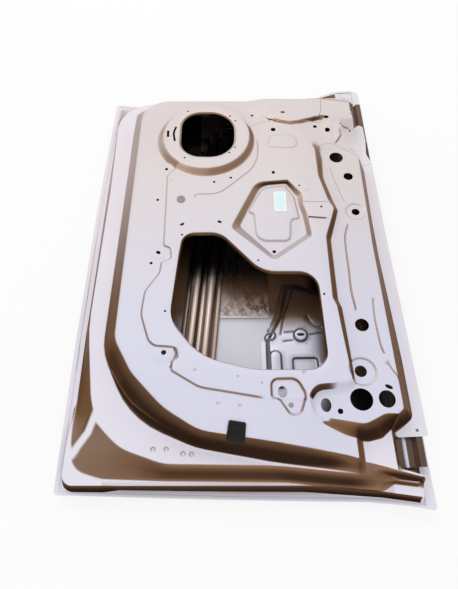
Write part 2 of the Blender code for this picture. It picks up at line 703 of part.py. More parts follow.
HINGE_LOWER_X = -112.0
HINGE_UPPER_X = 190.0
HINGE_BOLT_SPREAD = 44.0
HINGE_PLATE_WIDTH = 100.0
HINGE_PLATE_REACH = 28.0
HINGE_BOLT_RADIUS = 6.5
CHECK_PLATE_WIDTH = 70.0
CHECK_PLATE_REACH = 24.0
CHECK_SLOT_RADIUS = 7.0
CHECK_SLOT_STRETCH = 2.0
CHECK_PLATE_SPACING = 7.0
CHECK_LINK_X = HINGE_LOWER_X + (HINGE_PLATE_WIDTH + CHECK_PLATE_WIDTH) / 2.0 + CHECK_PLATE_SPACING


def wall_top(x):
    """Height of the main face where the front wall starts down from it."""
    return float(face_level(np.array([(x, FRONT_FACE_Y)], float), None)[0])


def wall_slope(x):
    """Angle of the front wall from the horizontal."""
    return math.atan2(wall_top(x) - LEDGE_FRONT_LEVEL, FRONT_WALL_RUN)


def wall_hole(x, along, radius, stretch):
    """Plan outline of a hole in the front wall: true on the wall, so narrow in plan."""
    squash = math.cos(wall_slope(x))
    return circle(x + along, FRONT_FACE_Y + FRONT_WALL_RUN / 2.0, radius * squash, 12, stretch / squash)


def hinge_holes(x, radius):
    """The two bolt holes of one hinge."""
    return [wall_hole(x, side * HINGE_BOLT_SPREAD / 2.0, radius, 1.0) for side in (-1.0, 1.0)]


def front_wall_holes():
    """Bolt holes of both hinges and the slot of the check link."""
    rows = hinge_holes(HINGE_LOWER_X, HINGE_BOLT_RADIUS) + hinge_holes(HINGE_UPPER_X, HINGE_BOLT_RADIUS)
    return rows + [wall_hole(CHECK_LINK_X, 0.0, CHECK_SLOT_RADIUS, CHECK_SLOT_STRETCH)]


def front_wall_box(x, width, reach):
    """Plan outline of a reinforcement behind the front wall."""
    low, high = FRONT_FACE_Y - reach, FRONT_FACE_Y + FRONT_WALL_RUN + 8.0
    half = width / 2.0
    return rounded([(x - half, low, 8), (x + half, low, 8), (x + half, high, 4), (x - half, high, 4)])


def wall_reinforcement(name, x, width, reach, holes):
    """An angle plate that follows the face and the front wall from inside."""
    lines = [WALL_ONE_FOOT, WALL_ONE_EDGE, rounded(BAND_FOOT), rounded(BAND_EDGE)]
    return nested_sheet(name, front_wall_box(x, width, reach), holes, lines, -(PANEL_GAUGE + NEST_GAP),
                        REINFORCEMENT_GAUGE, electrocoat())


def tapping_plate(name, x):
    """A thick plate behind the hinge reinforcement that takes the hinge bolts."""
    slope = wall_slope(x)
    inward = PANEL_GAUGE + REINFORCEMENT_GAUGE + NEST_GAP + SEAT_GAP
    outline = rounded([(-34, -17, 5), (34, -17, 5), (34, 17, 5), (-34, 17, 5)])
    holes = [circle(side * HINGE_BOLT_SPREAD / 2.0, 0.0, 5.0, 16) for side in (-1, 1)]
    plate = sheet(name, outline, holes, [], lambda points: np.zeros(len(points)), PLATE_GAUGE, zinc())
    middle = Vector((x, FRONT_FACE_Y + FRONT_WALL_RUN / 2.0, (wall_top(x) + LEDGE_FRONT_LEVEL) / 2.0))
    normal = Vector((0.0, math.sin(slope), math.cos(slope)))
    plate.matrix_world = (Matrix.Translation((middle - normal * inward) * MM)
                          @ Matrix.Rotation(-slope, 4, "X"))
    return plate


def front_wall_pieces():
    """Angle plates behind the front wall at both hinges and the check link, and the tapping plates."""
    for name, x in (("lower", HINGE_LOWER_X), ("upper", HINGE_UPPER_X)):
        wall_reinforcement("hinge_reinforcement_" + name, x, HINGE_PLATE_WIDTH, HINGE_PLATE_REACH,
                           hinge_holes(x, HINGE_BOLT_RADIUS + 1.0))
        tapping_plate("hinge_tapping_plate_" + name, x)
    slot = [wall_hole(CHECK_LINK_X, 0.0, CHECK_SLOT_RADIUS + 1.0, CHECK_SLOT_STRETCH)]
    wall_reinforcement("check_link_plate", CHECK_LINK_X, CHECK_PLATE_WIDTH, CHECK_PLATE_REACH, slot)


def mirror_plate():
    """The plate let into the front belt corner, flush with the inner panel, that carries the mirror."""
    outline = rounded(inset(MIRROR_FREE_EDGE + MIRROR_SEAM[::-1], SEAM_GAP))
    return sheet("mirror_plate", outline, oval_holes(MIRROR_HOLES, 10), form_lines(FACE_FORMS), panel_height,
                 REINFORCEMENT_GAUGE, primer())


def sash_top_plate():
    """The strip welded over the front edge beside the mirror plate."""
    top = FACE_LEVEL + FRONT_BAND_RISE + SEAT_GAP + REINFORCEMENT_GAUGE
    plan = rounded([(146, 418.9, 1), (216, 415.2, 6), (291.5, 403.2, 2), (291.5, 418.9, 2)])
    return sheet("sash_top_plate", plan, [circle(278, 412, 3.4, 10, 1.3)], [],
                 lambda points: np.full(len(points), top), REINFORCEMENT_GAUGE, primer())


def along_skin(points_xy, clearance):
    """Height of something that runs a stated clearance above the skin's inner face."""
    return skin_underside(np.array([points_xy], float))[0] + SKIN_GAUGE + clearance


def beam_base(y):
    """Height of the beam's flanges where its middle line passes y."""
    share = (y - BEAM_REAR[1]) / (BEAM_FRONT[1] - BEAM_REAR[1])
    x = BEAM_REAR[0] + (BEAM_FRONT[0] - BEAM_REAR[0]) * share
    return along_skin((x, y), BEAM_CLEARANCE)


def intrusion_beam():
    """The double-ribbed beam that crosses the door behind the skin."""
    half = BEAM_WIDTH / 2.0
    ribs = [(-1.0, 0.0), (-0.78, 0.0), (-0.62, 1.0), (-0.22, 1.0), (-0.10, 0.25),
            (0.10, 0.25), (0.22, 1.0), (0.62, 1.0), (0.78, 0.0), (1.0, 0.0)]
    section = [(u * half, v * BEAM_DEPTH) for u, v in ribs]
    start, end = np.array(BEAM_REAR), np.array(BEAM_FRONT)
    direction = (end - start) / np.hypot(*(end - start))
    side = np.array((direction[1], -direction[0]))

    def frame(share, u, v):
        middle = start + (end - start) * share + side * u
        return middle[0], middle[1], beam_base((start + (end - start) * share)[1]) + v
    stations = [k / 16.0 for k in range(17)]
    return swept_sheet("intrusion_beam", section, stations, frame, BEAM_GAUGE, electrocoat())


def beam_bracket(name, end, toward, seat_y, seat_level, width):
    """A stepped plate from under the beam's end up to the underside of the seal ledge."""
    x, y = end
    drop = (BEAM_GAUGE + REINFORCEMENT_GAUGE) / 2.0 + SEAT_GAP
    top = seat_level - PANEL_GAUGE - SEAT_GAP - REINFORCEMENT_GAUGE / 2.0
    places = (y - toward * 46.0, y - toward * 20.0, y + toward * 6.0)
    under = [(place, beam_base(place) - drop) for place in places]
    profile = under + [(seat_y - toward * 14.0, top), (seat_y, top)]
    half = width / 2.0

    def frame(station, u, v):
        return x + station * half, u, v
    return swept_sheet(name, profile, [-1.0, -0.8, 0.8, 1.0], frame, REINFORCEMENT_GAUGE, electrocoat())


def beam_brackets():
    front_seat = FRONT_FACE_Y + FRONT_WALL_RUN + 38.0
    beam_bracket("beam_bracket_front", BEAM_FRONT, 1.0, front_seat, LEDGE_FRONT_LEVEL, 110.0)
    beam_bracket("beam_bracket_rear", BEAM_REAR, -1.0, -506.0, LEDGE_REAR_LEVEL, 104.0)


def belt_inner_top():
    """Middle height of the belt reinforcement's flange under the strip."""
    return STRIP_LEVEL - PANEL_GAUGE - BELT_SEAT_GAP - REINFORCEMENT_GAUGE / 2.0


def belt_inner_reinforcement():
    """The hat section under the belt strip, from the rear corner to the front wall."""
    top = belt_inner_top()
    floor, foot = top - BELT_INNER_DEPTH, top - BELT_INNER_STEP
    section = [(349.0, top), (337.0, top), (331.0, floor), (314.0, floor), (308.0, foot), (297.0, foot)]

    def frame(station, u, v):
        return u, station, v
    stations = [-512.0, -300.0, -100.0, 100.0, 300.0, 486.0]
    return swept_sheet("belt_inner_reinforcement", section, stations, frame, REINFORCEMENT_GAUGE,
                       electrocoat())


def belt_edge(y):
    """Where the skin's belt edge lies at one place along the door."""
    side = sorted(SKIN_CORNERS[2:6], key=lambda corner: corner[1])
    return float(np.interp(y, [corner[1] for corner in side], [corner[0] for corner in side]))


def belt_outer_reinforcement():
    """The hat section on the skin along the belt edge, with one flange inside the hem."""
    lift = SKIN_GAUGE + SEAT_GAP + PANEL_GAUGE / 2.0
    first = HEM_BELT + 3.0
    top = BELT_OUTER_HEIGHT
    section = [(PANEL_EDGE_INSET, 0.0), (first, 0.0), (first + 5.0, top), (first + 17.0, top),
               (first + 22.0, 0.0), (first + 31.0, 0.0)]

    def frame(station, u, v):
        x = belt_edge(station) - u
        return x, station, skin_underside(np.array([(x, station)], float))[0] + lift + v
    stations = [-536.0 + 44.0 * k for k in range(25)]
    return swept_sheet("belt_outer_reinforcement", section, stations, frame, PANEL_GAUGE, electrocoat())


HANDLE_PLATE = [(44, -342, 10), (278, -342, 12), (286, -190, 30), (196, -112, 40), (132, -84, 16),
                (98, -84, 12), (76, -170, 30), (44, -240, 30)]
HANDLE_SEAT = 0.5


def handle_plate_height(points):
    """Upper face of the handle plate."""
    lift = SKIN_GAUGE + HANDLE_SEAT + REINFORCEMENT_GAUGE
    return pressed(points, lambda p: skin_underside(p) + lift, handle_forms())


def handle_forms():
    """Raised body of the handle plate with its arch channel, boss and slot pad."""
    body = [(56, -330, 8), (268, -330, 12), (274, -196, 30), (190, -124, 40), (128, -98, 12), (106, -98, 10),
            (88, -176, 30), (56, -236, 26)]
    arch = [(60, -344, 0), (88, -344, 0), (88, -262, 14), (60, -262, 14)]
    pad = circle(132, -226, 17, 20)
    boss = circle(65, -226, 13, 16)
    recess = [(110, -330, 0), (168, -330, 0), (166, -278, 8), (110, -278, 8)]
    return [
        Form(rounded(body), rounded(inset(body, 9.0)), raised(16.0)),
        Form(rounded(arch), rounded(inset(arch, 5.0)), raised(6.0)),
        Form(boss, circle(65, -226, 9, 16), raised(3.0)),
        Form(pad, circle(132, -226, 13, 20), raised(5.0)),
        Form(rounded(recess), rounded(inset(recess, 4.0)), raised(-5.0)),
    ]


def handle_reinforcement():
    """The pressed plate on the skin behind the outer handle."""
    holes = [circle(65, -226, 4.5, 12), circle(132, -226, 4, 12, 2.2), circle(226, -250, 16, 16, 1.4),
             circle(232, -310, 6, 10)]
    return sheet("handle_reinforcement", rounded(HANDLE_PLATE), holes, form_lines(handle_forms()),
                 handle_plate_height, REINFORCEMENT_GAUGE, electrocoat())


def latch_reinforcement():
    """The plate inside the rear wall that the latch screws to."""
    outline = rounded([(-22, -490, 5), (72, -502, 5), (72, -456, 6), (-22, -440, 6)])
    return nested_sheet("latch_reinforcement", outline, [], [WALL_ONE_FOOT, WALL_ONE_EDGE],
                        -(PANEL_GAUGE + LATCH_GAP), REINFORCEMENT_GAUGE, electrocoat())


def sash_channel(name, top, end):
    """A folded channel for the glass run, hung under the belt reinforcement and open upwards."""
    seat = belt_inner_top() - BELT_INNER_STEP - REINFORCEMENT_GAUGE / 2.0 - SEAT_GAP
    start, end = np.array((*top, seat - SASH_DEPTH)), np.array(end, float)
    direction = (end - start)[:2] / np.hypot(*(end - start)[:2])
    side = np.array((-direction[1], direction[0], 0.0))
    half, depth = SASH_WIDTH / 2.0, SASH_DEPTH
    section = [(-half, depth), (-half, 0.0), (half, 0.0), (half, depth)]

    def frame(share, u, v):
        place = start + (end - start) * share + side * u
        return place[0], place[1], place[2] + v
    return swept_sheet(name, section, [k / 4.0 for k in range(5)], frame, REINFORCEMENT_GAUGE, electrocoat())


def damping_pad():
    """A flat pad stuck to the inside of the skin."""
    outline = rounded([(-56, -174, 8), (66, -174, 8), (66, 40, 8), (-56, 40, 8)])
    lift = SKIN_GAUGE + SEAT_GAP + PAD_GAUGE
    return sheet("damping_pad", outline, [], [], lambda points: skin_underside(points) + lift,
                 PAD_GAUGE, pad_bitumen())


def label_sticker():
    outline = rounded([(78, 44, 1.0), (107, 44, 1.0), (107, 103, 1.0), (78, 103, 1.0)])
    level = FACE_LEVEL + FIELD_RISE - POCKET_DEPTH + POCKET_STEP_RISE
    return prism("label_sticker", outline, level + SEAT_GAP, level + SEAT_GAP + LABEL_GAUGE, label_paper())


def hole_plug():
    """A rubber plug that closes a round hole beside the speaker: a low disc."""
    level = FACE_LEVEL + FIELD_RISE + SEAT_GAP
    return prism("hole_plug", circle(-140, 75, 9.5, 20), level, level + PLUG_HEIGHT, grey_rubber())


def rear_clip():
    """The black clip that grips the rear edge of the main face and hangs over the wall."""
    plan = rounded([(-33, -476, 3), (1, -482, 3), (4, -447, 4), (-28, -442, 4)])
    return nested_sheet("rear_clip", plan, [], [WALL_ONE_EDGE], NEST_GAP + CLIP_GAUGE, CLIP_GAUGE,
                        black_plastic())


def weld_nut(name, x, y):
    """A hexagonal weld nut under one trim hole of the main face."""
    outer, inner = circle(x, y, NUT_RADIUS, 6), circle(x, y, NUT_BORE, 6)
    top = panel_height(np.array([(x, y)], float))[0] - PANEL_GAUGE - SEAT_GAP
    points, faces = [], []
    for ring in (outer, inner):
        for z in (top - NUT_HEIGHT, top):
            points += [(*p, z) for p in ring]
    for k in range(6):
        j = (k + 1) % 6
        faces.append((k, j, 6 + j, 6 + k))
        faces.append((12 + j, 12 + k, 18 + k, 18 + j))
        faces.append((6 + k, 6 + j, 18 + j, 18 + k))
        faces.append((j, k, 12 + k, 12 + j))
    return add_object(name, points, faces, zinc())


def weld_nuts():
    for number, (x, y) in enumerate(NUT_PLACES, 1):
        weld_nut("weld_nut_%d" % number, x, y)


def centre_on_skin():
    """Move everything so that the middle of the skin's outline is the origin."""
    edge = rounded(SKIN_CORNERS)
    middle = (edge.min(0) + edge.max(0)) / 2.0
    frame = bpy.data.objects.new("door_frame", None)
    bpy.context.scene.collection.objects.link(frame)
    for item in list(bpy.context.scene.objects):
        if item.type == "MESH":
            item.parent = frame
    frame.location = (-middle[0] * MM, -middle[1] * MM, 0.0)


def build():
    for item in list(bpy.data.objects):
        bpy.data.objects.remove(item, do_unlink=True)
    outer_skin()
    inner_panel()
    mirror_plate()
    sash_top_plate()
    belt_inner_reinforcement()
    belt_outer_reinforcement()
    intrusion_beam()
    beam_brackets()
    handle_reinforcement()
    latch_reinforcement()
    front_wall_pieces()
    sash_channel("front_sash_channel", FRONT_SASH_TOP, FRONT_SASH_FOOT)
    sash_channel("rear_sash_channel", REAR_SASH_TOP, REAR_SASH_FOOT)
    damping_pad()
    label_sticker()
    hole_plug()
    rear_clip()
    weld_nuts()
    centre_on_skin()
    bpy.context.view_layer.update()


build()
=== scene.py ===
"""Looks of a car's front door shell without window frame, lying on its outer skin with the inner side up.

Outlines are in millimetres on the door's plan: x from the sill edge to the belt edge, y from the latch
edge to the hinge edge. A corner is (x, y, fillet radius), and outlines run anticlockwise.
"""
import json
import math

import bmesh
import bpy
import numpy as np
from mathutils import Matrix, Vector, geometry


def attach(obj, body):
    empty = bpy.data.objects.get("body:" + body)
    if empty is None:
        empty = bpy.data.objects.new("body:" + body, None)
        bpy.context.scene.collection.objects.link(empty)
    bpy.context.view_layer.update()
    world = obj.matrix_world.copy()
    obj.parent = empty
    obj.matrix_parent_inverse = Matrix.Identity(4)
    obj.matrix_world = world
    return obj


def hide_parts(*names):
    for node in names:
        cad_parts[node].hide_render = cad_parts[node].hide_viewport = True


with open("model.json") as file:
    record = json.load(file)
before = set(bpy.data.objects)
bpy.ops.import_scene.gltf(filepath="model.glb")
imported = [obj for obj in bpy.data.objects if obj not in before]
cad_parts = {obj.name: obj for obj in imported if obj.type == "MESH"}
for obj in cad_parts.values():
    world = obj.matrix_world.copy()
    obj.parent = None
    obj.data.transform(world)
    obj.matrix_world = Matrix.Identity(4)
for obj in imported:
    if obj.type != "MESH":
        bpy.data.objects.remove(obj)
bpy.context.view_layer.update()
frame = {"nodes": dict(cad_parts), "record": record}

bl_info = {
    "name": "Door Shell Pressings",
    "version": (1, 0, 0),
    "blender": (4, 5, 0),
    "location": "View3D > Sidebar > Door",
    "description": "Builds the pressed sheets, reinforcements and paint of a bare car door shell",
    "category": "Object",
}

MM = 0.001

# The middle of the skin's outline on the traced plan, which is the origin of the row
PLAN_MIDDLE = (-3.0, -5.646)

# Fineness of the meshes: turn per fillet point, and the spacing of the grid and of points along lines
ARC_STEP = math.radians(9.0)
GRID_STEP = 17.0
LINE_STEP = 13.0
# Grid points stay out of cells of this width that hold a point of a line
GRID_CLEARANCE = 7
# Points of the plan closer than this are one point
PLAN_MERGE = 0.03
# Points are handled in batches of this size, to bound the memory of the distance sums
BATCH = 4000
# The rounding of a wall's breaks takes up at most this share of the wall
BREAK_SHARE = 0.45
# Around a form's foot line the form is worked out for points this far away
FORM_MARGIN = 12.0
# A wall that is steeper than a form's least steepness by this much is fully drawn
DRAWN_SPAN = 0.18
# Share of a wall's rise over which its drawn tone fades in at both breaks
DRAWN_FADE = 0.10


# Plan geometry

def smooth(value, start, end):
    """A soft change from 0 at start to 1 at end."""
    t = np.clip((value - start) / (end - start), 0.0, 1.0)
    return t * t * (3.0 - 2.0 * t)


def corner_arc(before, corner, after, step=ARC_STEP):
    """Points of the fillet at one corner, cut short where the sides leave no room."""
    p = np.array(corner[:2], float)
    a = np.array(before[:2], float) - p
    b = np.array(after[:2], float) - p
    length_a, length_b = np.hypot(*a), np.hypot(*b)
    a, b = a / length_a, b / length_b
    turn = math.pi - math.acos(np.clip(a @ b, -1.0, 1.0))
    if turn < 1e-3 or corner[2] <= 0.0:
        return [p]
    tangent = min(corner[2] * math.tan(turn / 2.0), 0.499 * length_a, 0.499 * length_b)
    radius = tangent / math.tan(turn / 2.0)
    middle = a + b
    middle = middle / np.hypot(*middle)
    centre = p + middle * math.hypot(radius, tangent)
    start = p + a * tangent - centre
    side = np.sign(a[0] * b[1] - a[1] * b[0])
    count = max(1, math.ceil(turn / step))
    points = []
    for k in range(count + 1):
        angle = -side * turn * k / count
        c, s = math.cos(angle), math.sin(angle)
        points.append(centre + np.array((c * start[0] - s * start[1], s * start[0] + c * start[1])))
    return points


def spaced(outline, spacing=LINE_STEP):
    """A closed outline with extra points along its long sides."""
    points = []
    for k, here in enumerate(outline):
        following = outline[(k + 1) % len(outline)]
        parts = max(1, math.ceil(np.hypot(*(following - here)) / spacing))
        points += [here + (following - here) * j / parts for j in range(parts)]
    return np.array(points)


def rounded(corners, spacing=LINE_STEP):
    """A closed outline from corner points with fillet radii."""
    points = []
    for k, corner in enumerate(corners):
        points += corner_arc(corners[k - 1], corner, corners[(k + 1) % len(corners)])
    return spaced(np.array(points), spacing)


def inset(corners, distances):
    """The same corners with side k (from corner k to corner k + 1) moved inwards by distances[k]."""
    count = len(corners)
    if not hasattr(distances, "__len__"):
        distances = [distances] * count
    moved = []
    for k in range(count):
        previous, here, following = corners[k - 1], corners[k], corners[(k + 1) % count]
        d0, d1 = distances[k - 1], distances[k]
        u0 = np.array((here[0] - previous[0], here[1] - previous[1]), float)
        u1 = np.array((following[0] - here[0], following[1] - here[1]), float)
        u0, u1 = u0 / np.hypot(*u0), u1 / np.hypot(*u1)
        n0, n1 = np.array((-u0[1], u0[0])), np.array((-u1[1], u1[0]))
        cross = u0[0] * u1[1] - u0[1] * u1[0]
        p = np.array(here[:2], float)
        if abs(cross) < 1e-6:
            q = p + n0 * d0
        else:
            q = p + (n0 * d0 + u0 * ((d1 - (n0 @ n1) * d0) / (u0 @ n1)))
        turn = min(d0, d1) if cross > 0.0 else -max(d0, d1)
        moved.append((q[0], q[1], max(here[2] - turn, 0.4)))
    return moved


def circle(x, y, radius, count=32, stretch=1.0, angle=0.0):
    """A round or oval outline; stretch is the length over the width, along the given angle."""
    turns = [2.0 * math.pi * k / count for k in range(count)]
    c, s = math.cos(angle), math.sin(angle)
    flat = [(radius * stretch * math.cos(t), radius * math.sin(t)) for t in turns]
    return np.array([(x + c * u - s * v, y + s * u + c * v) for u, v in flat])


def inside(points, outline):
    """Which points lie inside a closed outline."""
    result = np.zeros(len(points), bool)
    x0, y0 = outline[:, 0][None, :], outline[:, 1][None, :]
    x1, y1 = np.roll(x0, -1, 1), np.roll(y0, -1, 1)
    rise = np.where(y1 == y0, 1e-12, y1 - y0)
    for first in range(0, len(points), BATCH):
        part = points[first:first + BATCH]
        x, y = part[:, 0][:, None], part[:, 1][:, None]
        spans = (y0 > y) != (y1 > y)
        hits = spans & (x < (x1 - x0) * (y - y0) / rise + x0)
        result[first:first + BATCH] = hits.sum(1) % 2 == 1
    return result


def nearest(points, outline):
    """The nearest place on a closed outline to each point."""
    a = outline[None, :, :]
    ab = np.roll(outline, -1, 0)[None, :, :] - a
    squares = np.maximum((ab ** 2).sum(2), 1e-12)
    places = np.zeros((len(points), 2))
    for first in range(0, len(points), BATCH):
        p = points[first:first + BATCH][:, None, :]
        t = np.clip(((p - a) * ab).sum(2) / squares, 0.0, 1.0)
        spots = a + ab * t[..., None]
        pick = ((spots - p) ** 2).sum(2).argmin(1)
        places[first:first + BATCH] = spots[np.arange(len(pick)), pick]
    return places


def distance(points, outline):
    """How far each point lies from a closed outline."""
    return np.hypot(*(nearest(points, outline) - points).T)


def wall_share(run, width, fillet):
    """Share of a wall's rise at a distance inside its foot line, with both of its breaks rounded."""
    reach = np.minimum(fillet, BREAK_SHARE * width)

    def area(v):
        return np.where(v <= 0.0, 0.0, np.where(v >= width, v - width / 2.0, v * v / (2.0 * width)))
    return (area(run + reach) - area(run - reach)) / (2.0 * reach)


class Form:
    """One pressed form: nothing outside its foot line, its full level inside its edge line.

    Its tone says how strongly its wall counts as drawn, and so how much painted shade its wall gets, and may
    differ from point to point. Only a wall that is steeper than its least steepness counts."""

    def __init__(self, foot, edge, level, fillet=2.2, tone=1.0, least=0.14):
        self.foot, self.edge, self.level, self.fillet, self.tone = foot, edge, level, fillet, tone
        self.least = least
        self.low = foot.min(0) - FORM_MARGIN
        self.high = foot.max(0) + FORM_MARGIN
        self.covers = getattr(level, "covers", False)

    def share(self, points):
        """The share of the form's rise at each point, and the width of its wall there."""
        share, width = np.zeros(len(points)), np.ones(len(points))
        near = np.nonzero(((points > self.low) & (points < self.high)).all(1))[0]
        if len(near):
            some = points[near]
            to_foot, to_edge = distance(some, self.foot), distance(some, self.edge)
            in_foot, in_edge = inside(some, self.foot), inside(some, self.edge)
            run = np.where(in_foot, to_foot, -to_foot)
            across = np.where(in_edge, to_foot - to_edge,
                              np.where(in_foot, to_foot + to_edge, to_edge - to_foot))
            width[near] = np.maximum(across, 1.0)
            share[near] = wall_share(run, width[near], self.fillet)
        return share, width

    def apply(self, points, z, tones=None):
        """The height of the sheet with this form; with tones, their two rows are brought up to date."""
        share, width = self.share(points)
        if tones is not None and self.level is face_level:
            inner = np.zeros((2, len(points)))
            level = pressed(points, lambda p: np.full(len(p), FACE_LEVEL), FACE_FORMS, inner)
        else:
            inner = None
            level = self.level(points, z)
        if tones is not None:
            steep = smooth(np.abs(level - z) / width, self.least, self.least + DRAWN_SPAN)
            tone = self.tone(points) if callable(self.tone) else self.tone
            wall = smooth(np.minimum(share, 1.0 - share), 0.0, DRAWN_FADE) * steep * tone
            if self.covers:
                tones[0] *= 1.0 - share
            if inner is not None:
                tones[1] = np.where(inner[0] * share > tones[0], inner[1], tones[1])
                tones[0] = np.maximum(tones[0], inner[0] * share)
            climb = np.where(level >= z, share, 1.0 - share)
            tones[1] = np.where(wall > tones[0], climb, tones[1])
            tones[0] = np.maximum(tones[0], wall)
        return z + (level - z) * share

    def rings(self):
        """Lines along the wall, close together where it bends."""
        lines = []
        for own, other, sign in ((self.foot, self.edge, 1.0), (self.edge, self.foot, -1.0)):
            across = nearest(own, other) - own
            width = np.maximum(np.hypot(*across.T), 0.5)
            across = across / width[:, None]
            reach = np.minimum(self.fillet, BREAK_SHARE * width)
            for step in (-1.0, 0.0, 1.0) if self.fillet < 2.0 else (-1.0, -0.5, 0.0, 0.5, 1.0):
                lines.append(own + across * (reach * step)[:, None])
            if sign > 0.0 and width.mean() > 12.0:
                lines.append(own + across * (width * 0.5)[:, None])
        return lines


class ShadePatch(Form):
    """An area that gets painted shade, with no form of its own."""

    def apply(self, points, z, tones=None):
        if tones is not None:
            tones[0] = np.maximum(tones[0], self.share(points)[0] * self.tone)
        return z


class Everywhere:
    """A change of level that has no wall of its own."""

    def __init__(self, level):
        self.level = level

    def apply(self, points, z, tones=None):
        return self.level(points, z)

    def rings(self):
        return []


def raised(amount):
    """A level that follows the surface below it, a stated amount higher or lower."""
    return lambda points, z: z + amount


def to_level(level):
    """A level at one height above the floor, whatever lies below it."""
    def height(points, z):
        return np.full(len(points), float(level))
    height.covers = True
    return height


def pressed(points, base, forms, tones=None):
    """The height of a pressed sheet: its base with each form applied in turn.

    Two rows of tones gather how far each point lies on a drawn wall, and how high up that wall."""
    z = base(points)
    for form in forms:
        z = form.apply(points, z, tones)
    return z


def rim(corners, width, level, fillet=2.2, tone=1.0):
    """A form with one wall of even width inside the given corners."""
    return Form(rounded(corners, 9.0), rounded(inset(corners, width), 9.0), level, fillet, tone)


def dish(x, y, radius, width, level, fillet=1.4, stretch=1.0, angle=0.0, tone=0.4):
    """A round or oval form."""
    count = max(24, int(radius * 2))
    return Form(circle(x, y, radius, count, stretch, angle),
                circle(x, y, radius - width, count, stretch, angle), level, fillet, tone)


def ribbon(line, half):
    """A closed outline round a line of points, half a width to either side."""
    line = np.array(line, float)
    along = np.gradient(line, axis=0)
    side = np.column_stack((-along[:, 1], along[:, 0])) / np.hypot(*along.T)[:, None]
    return np.vstack((line - side * half, (line + side * half)[::-1]))


def curve(line, spacing=5.0):
    """A smooth line through the given points."""
    line = np.array(line, float)
    before, after = 2.0 * line[0] - line[1], 2.0 * line[-1] - line[-2]
    ends = np.vstack((before, line, after))
    points = []
    for a, b, c, d in zip(ends, ends[1:], ends[2:], ends[3:]):
        count = max(2, math.ceil(np.hypot(*(c - b)) / spacing))
        for t in np.arange(count) / count:
            points.append(0.5 * (2.0 * b + (c - a) * t + (2.0 * a - 5.0 * b + 4.0 * c - d) * t * t
                                 + (3.0 * b - a - 3.0 * c + d) * t ** 3))
    return np.array(points + [line[-1]])


def bead(line, half, amount, tone=0.6):
    """A thin crease or bead along a line: half its width and its height, or its depth below 0."""
    smooth_line = curve(line)
    return Form(ribbon(smooth_line, half), ribbon(smooth_line, half * 0.25), raised(amount), 0.6, tone)


# The outer skin's outline and surface

SKIN_CORNERS = [
    (-360.0, -560.0, 8.0), (273.0, -572.0, 500.0), (361.0, -587.0, 6.0), (361.0, -440.0, 300.0),
    (351.0, 40.0, 1500.0), (358.0, 560.0, 14.0), (338.0, 573.0, 12.0), (286.0, 575.0, 60.0),
    (150.0, 521.0, 250.0), (-60.0, 511.0, 600.0), (-357.0, 511.0, 6.0), (-367.0, 140.0, 1500.0),
    (-367.0, -240.0, 1500.0),
]
SKIN_GAUGE = 0.8
PANEL_GAUGE = 0.9
REINFORCEMENT_GAUGE = 1.2
SEAT_GAP = 0.3
HEM_WIDTHS = [6.5, 6.5] + [20.0] * 3 + [7.5] * 5 + [10.0] * 3
SKIN_GRID_STEP = 24.0
HEM_STEPS = 8
HEM_PLAY = 0.3
PANEL_EDGE_INSET = 3.6


# The skin's crown: how far it rises to its edges across and along the door, and the half sizes there
CROWN_ACROSS, CROWN_HALF_WIDTH = 21.0, 361.0
CROWN_ALONG, CROWN_HALF_LENGTH = 10.0, 570.0


def skin_underside(points):
    """Height of the skin's outer face: a crown across and a shallower one along the door."""
    across, along = points[:, 0] / CROWN_HALF_WIDTH, points[:, 1] / CROWN_HALF_LENGTH
    return CROWN_ACROSS * across ** 2 + CROWN_ALONG * along ** 2


def flange_top(points):
    """Upper face of the inner panel where it lies on the skin, inside the hem."""
    return skin_underside(points) + SKIN_GAUGE + SEAT_GAP + PANEL_GAUGE


# Terraces of the inner panel

BELT_REACH = 440.0
FACE_LEVEL = 125.0
LEDGE_FRONT_LEVEL = 48.0
LEDGE_REAR_LEVEL = 74.0
REAR_STEP_LEVEL = 50.0
LEDGE_END_FALL = 18.0
# Plan line of the crest at the rear sill corner
SILL_RIDGE = [(-288.0, -410.0), (-301.0, -449.0), (-319.0, -473.0), (-333.0, -496.0)]
SHOULDER_LEVEL = 109.0
STRIP_LEVEL = 56.0
SPEAKER_RISE = 12.0
REAR_DIP = 41.0
FIELD_RISE = 2.5
FRONT_BAND_RISE = 8.0
FRONT_FACE_Y = 419.0
FRONT_WALL_RUN = 18.0

REAR_STEP_FOOT = rounded([(-347, -553, 24), (-268, -553, 20), (-238, -549, 20), (120, -551, 200),
                          (262, -562, 60), (450, -588, 0), (450, 502, 0), (-347, 500, 8)])
REAR_STEP_EDGE = rounded([(-344.5, -546, 22), (120, -546, 200), (262, -556.5, 60), (450, -581, 0),
                          (450, 501, 0), (-345.5, 499, 8)])
WALL_TWO_FOOT = rounded([(-343.5, -420, 120), (-330, -520, 40), (-268, -536, 60), (80, -539, 100),
                         (150, -546, 60), (258, -554, 20), (282, -542, 12), (450, -562, 0),
                         (450, 560, 0), (292, 560, 30), (130, 502, 120), (-344.5, 496, 8)])
WALL_TWO_EDGE = rounded([(-331.5, -230, 400), (-302, -384, 120), (-284, -432, 40), (-232, -481, 90),
                         (-150, -511, 90), (60, -514, 300), (236, -531, 60),
                         (450, -556, 0), (450, 545, 0), (290, 543, 30), (130, 494, 120),
                         (-341, 494, 95), (-333, 160, 400)])
WALL_ONE_FOOT = rounded([(-291, -285, 150), (-222, -428, 260), (-90, -480, 200), (60, -507, 400),
                         (238, -528, 40), (450, -553, 0), (450, FRONT_FACE_Y + FRONT_WALL_RUN, 0),
                         (-190, FRONT_FACE_Y + FRONT_WALL_RUN, 60), (-236, 466, 30), (-291, 466, 52)])
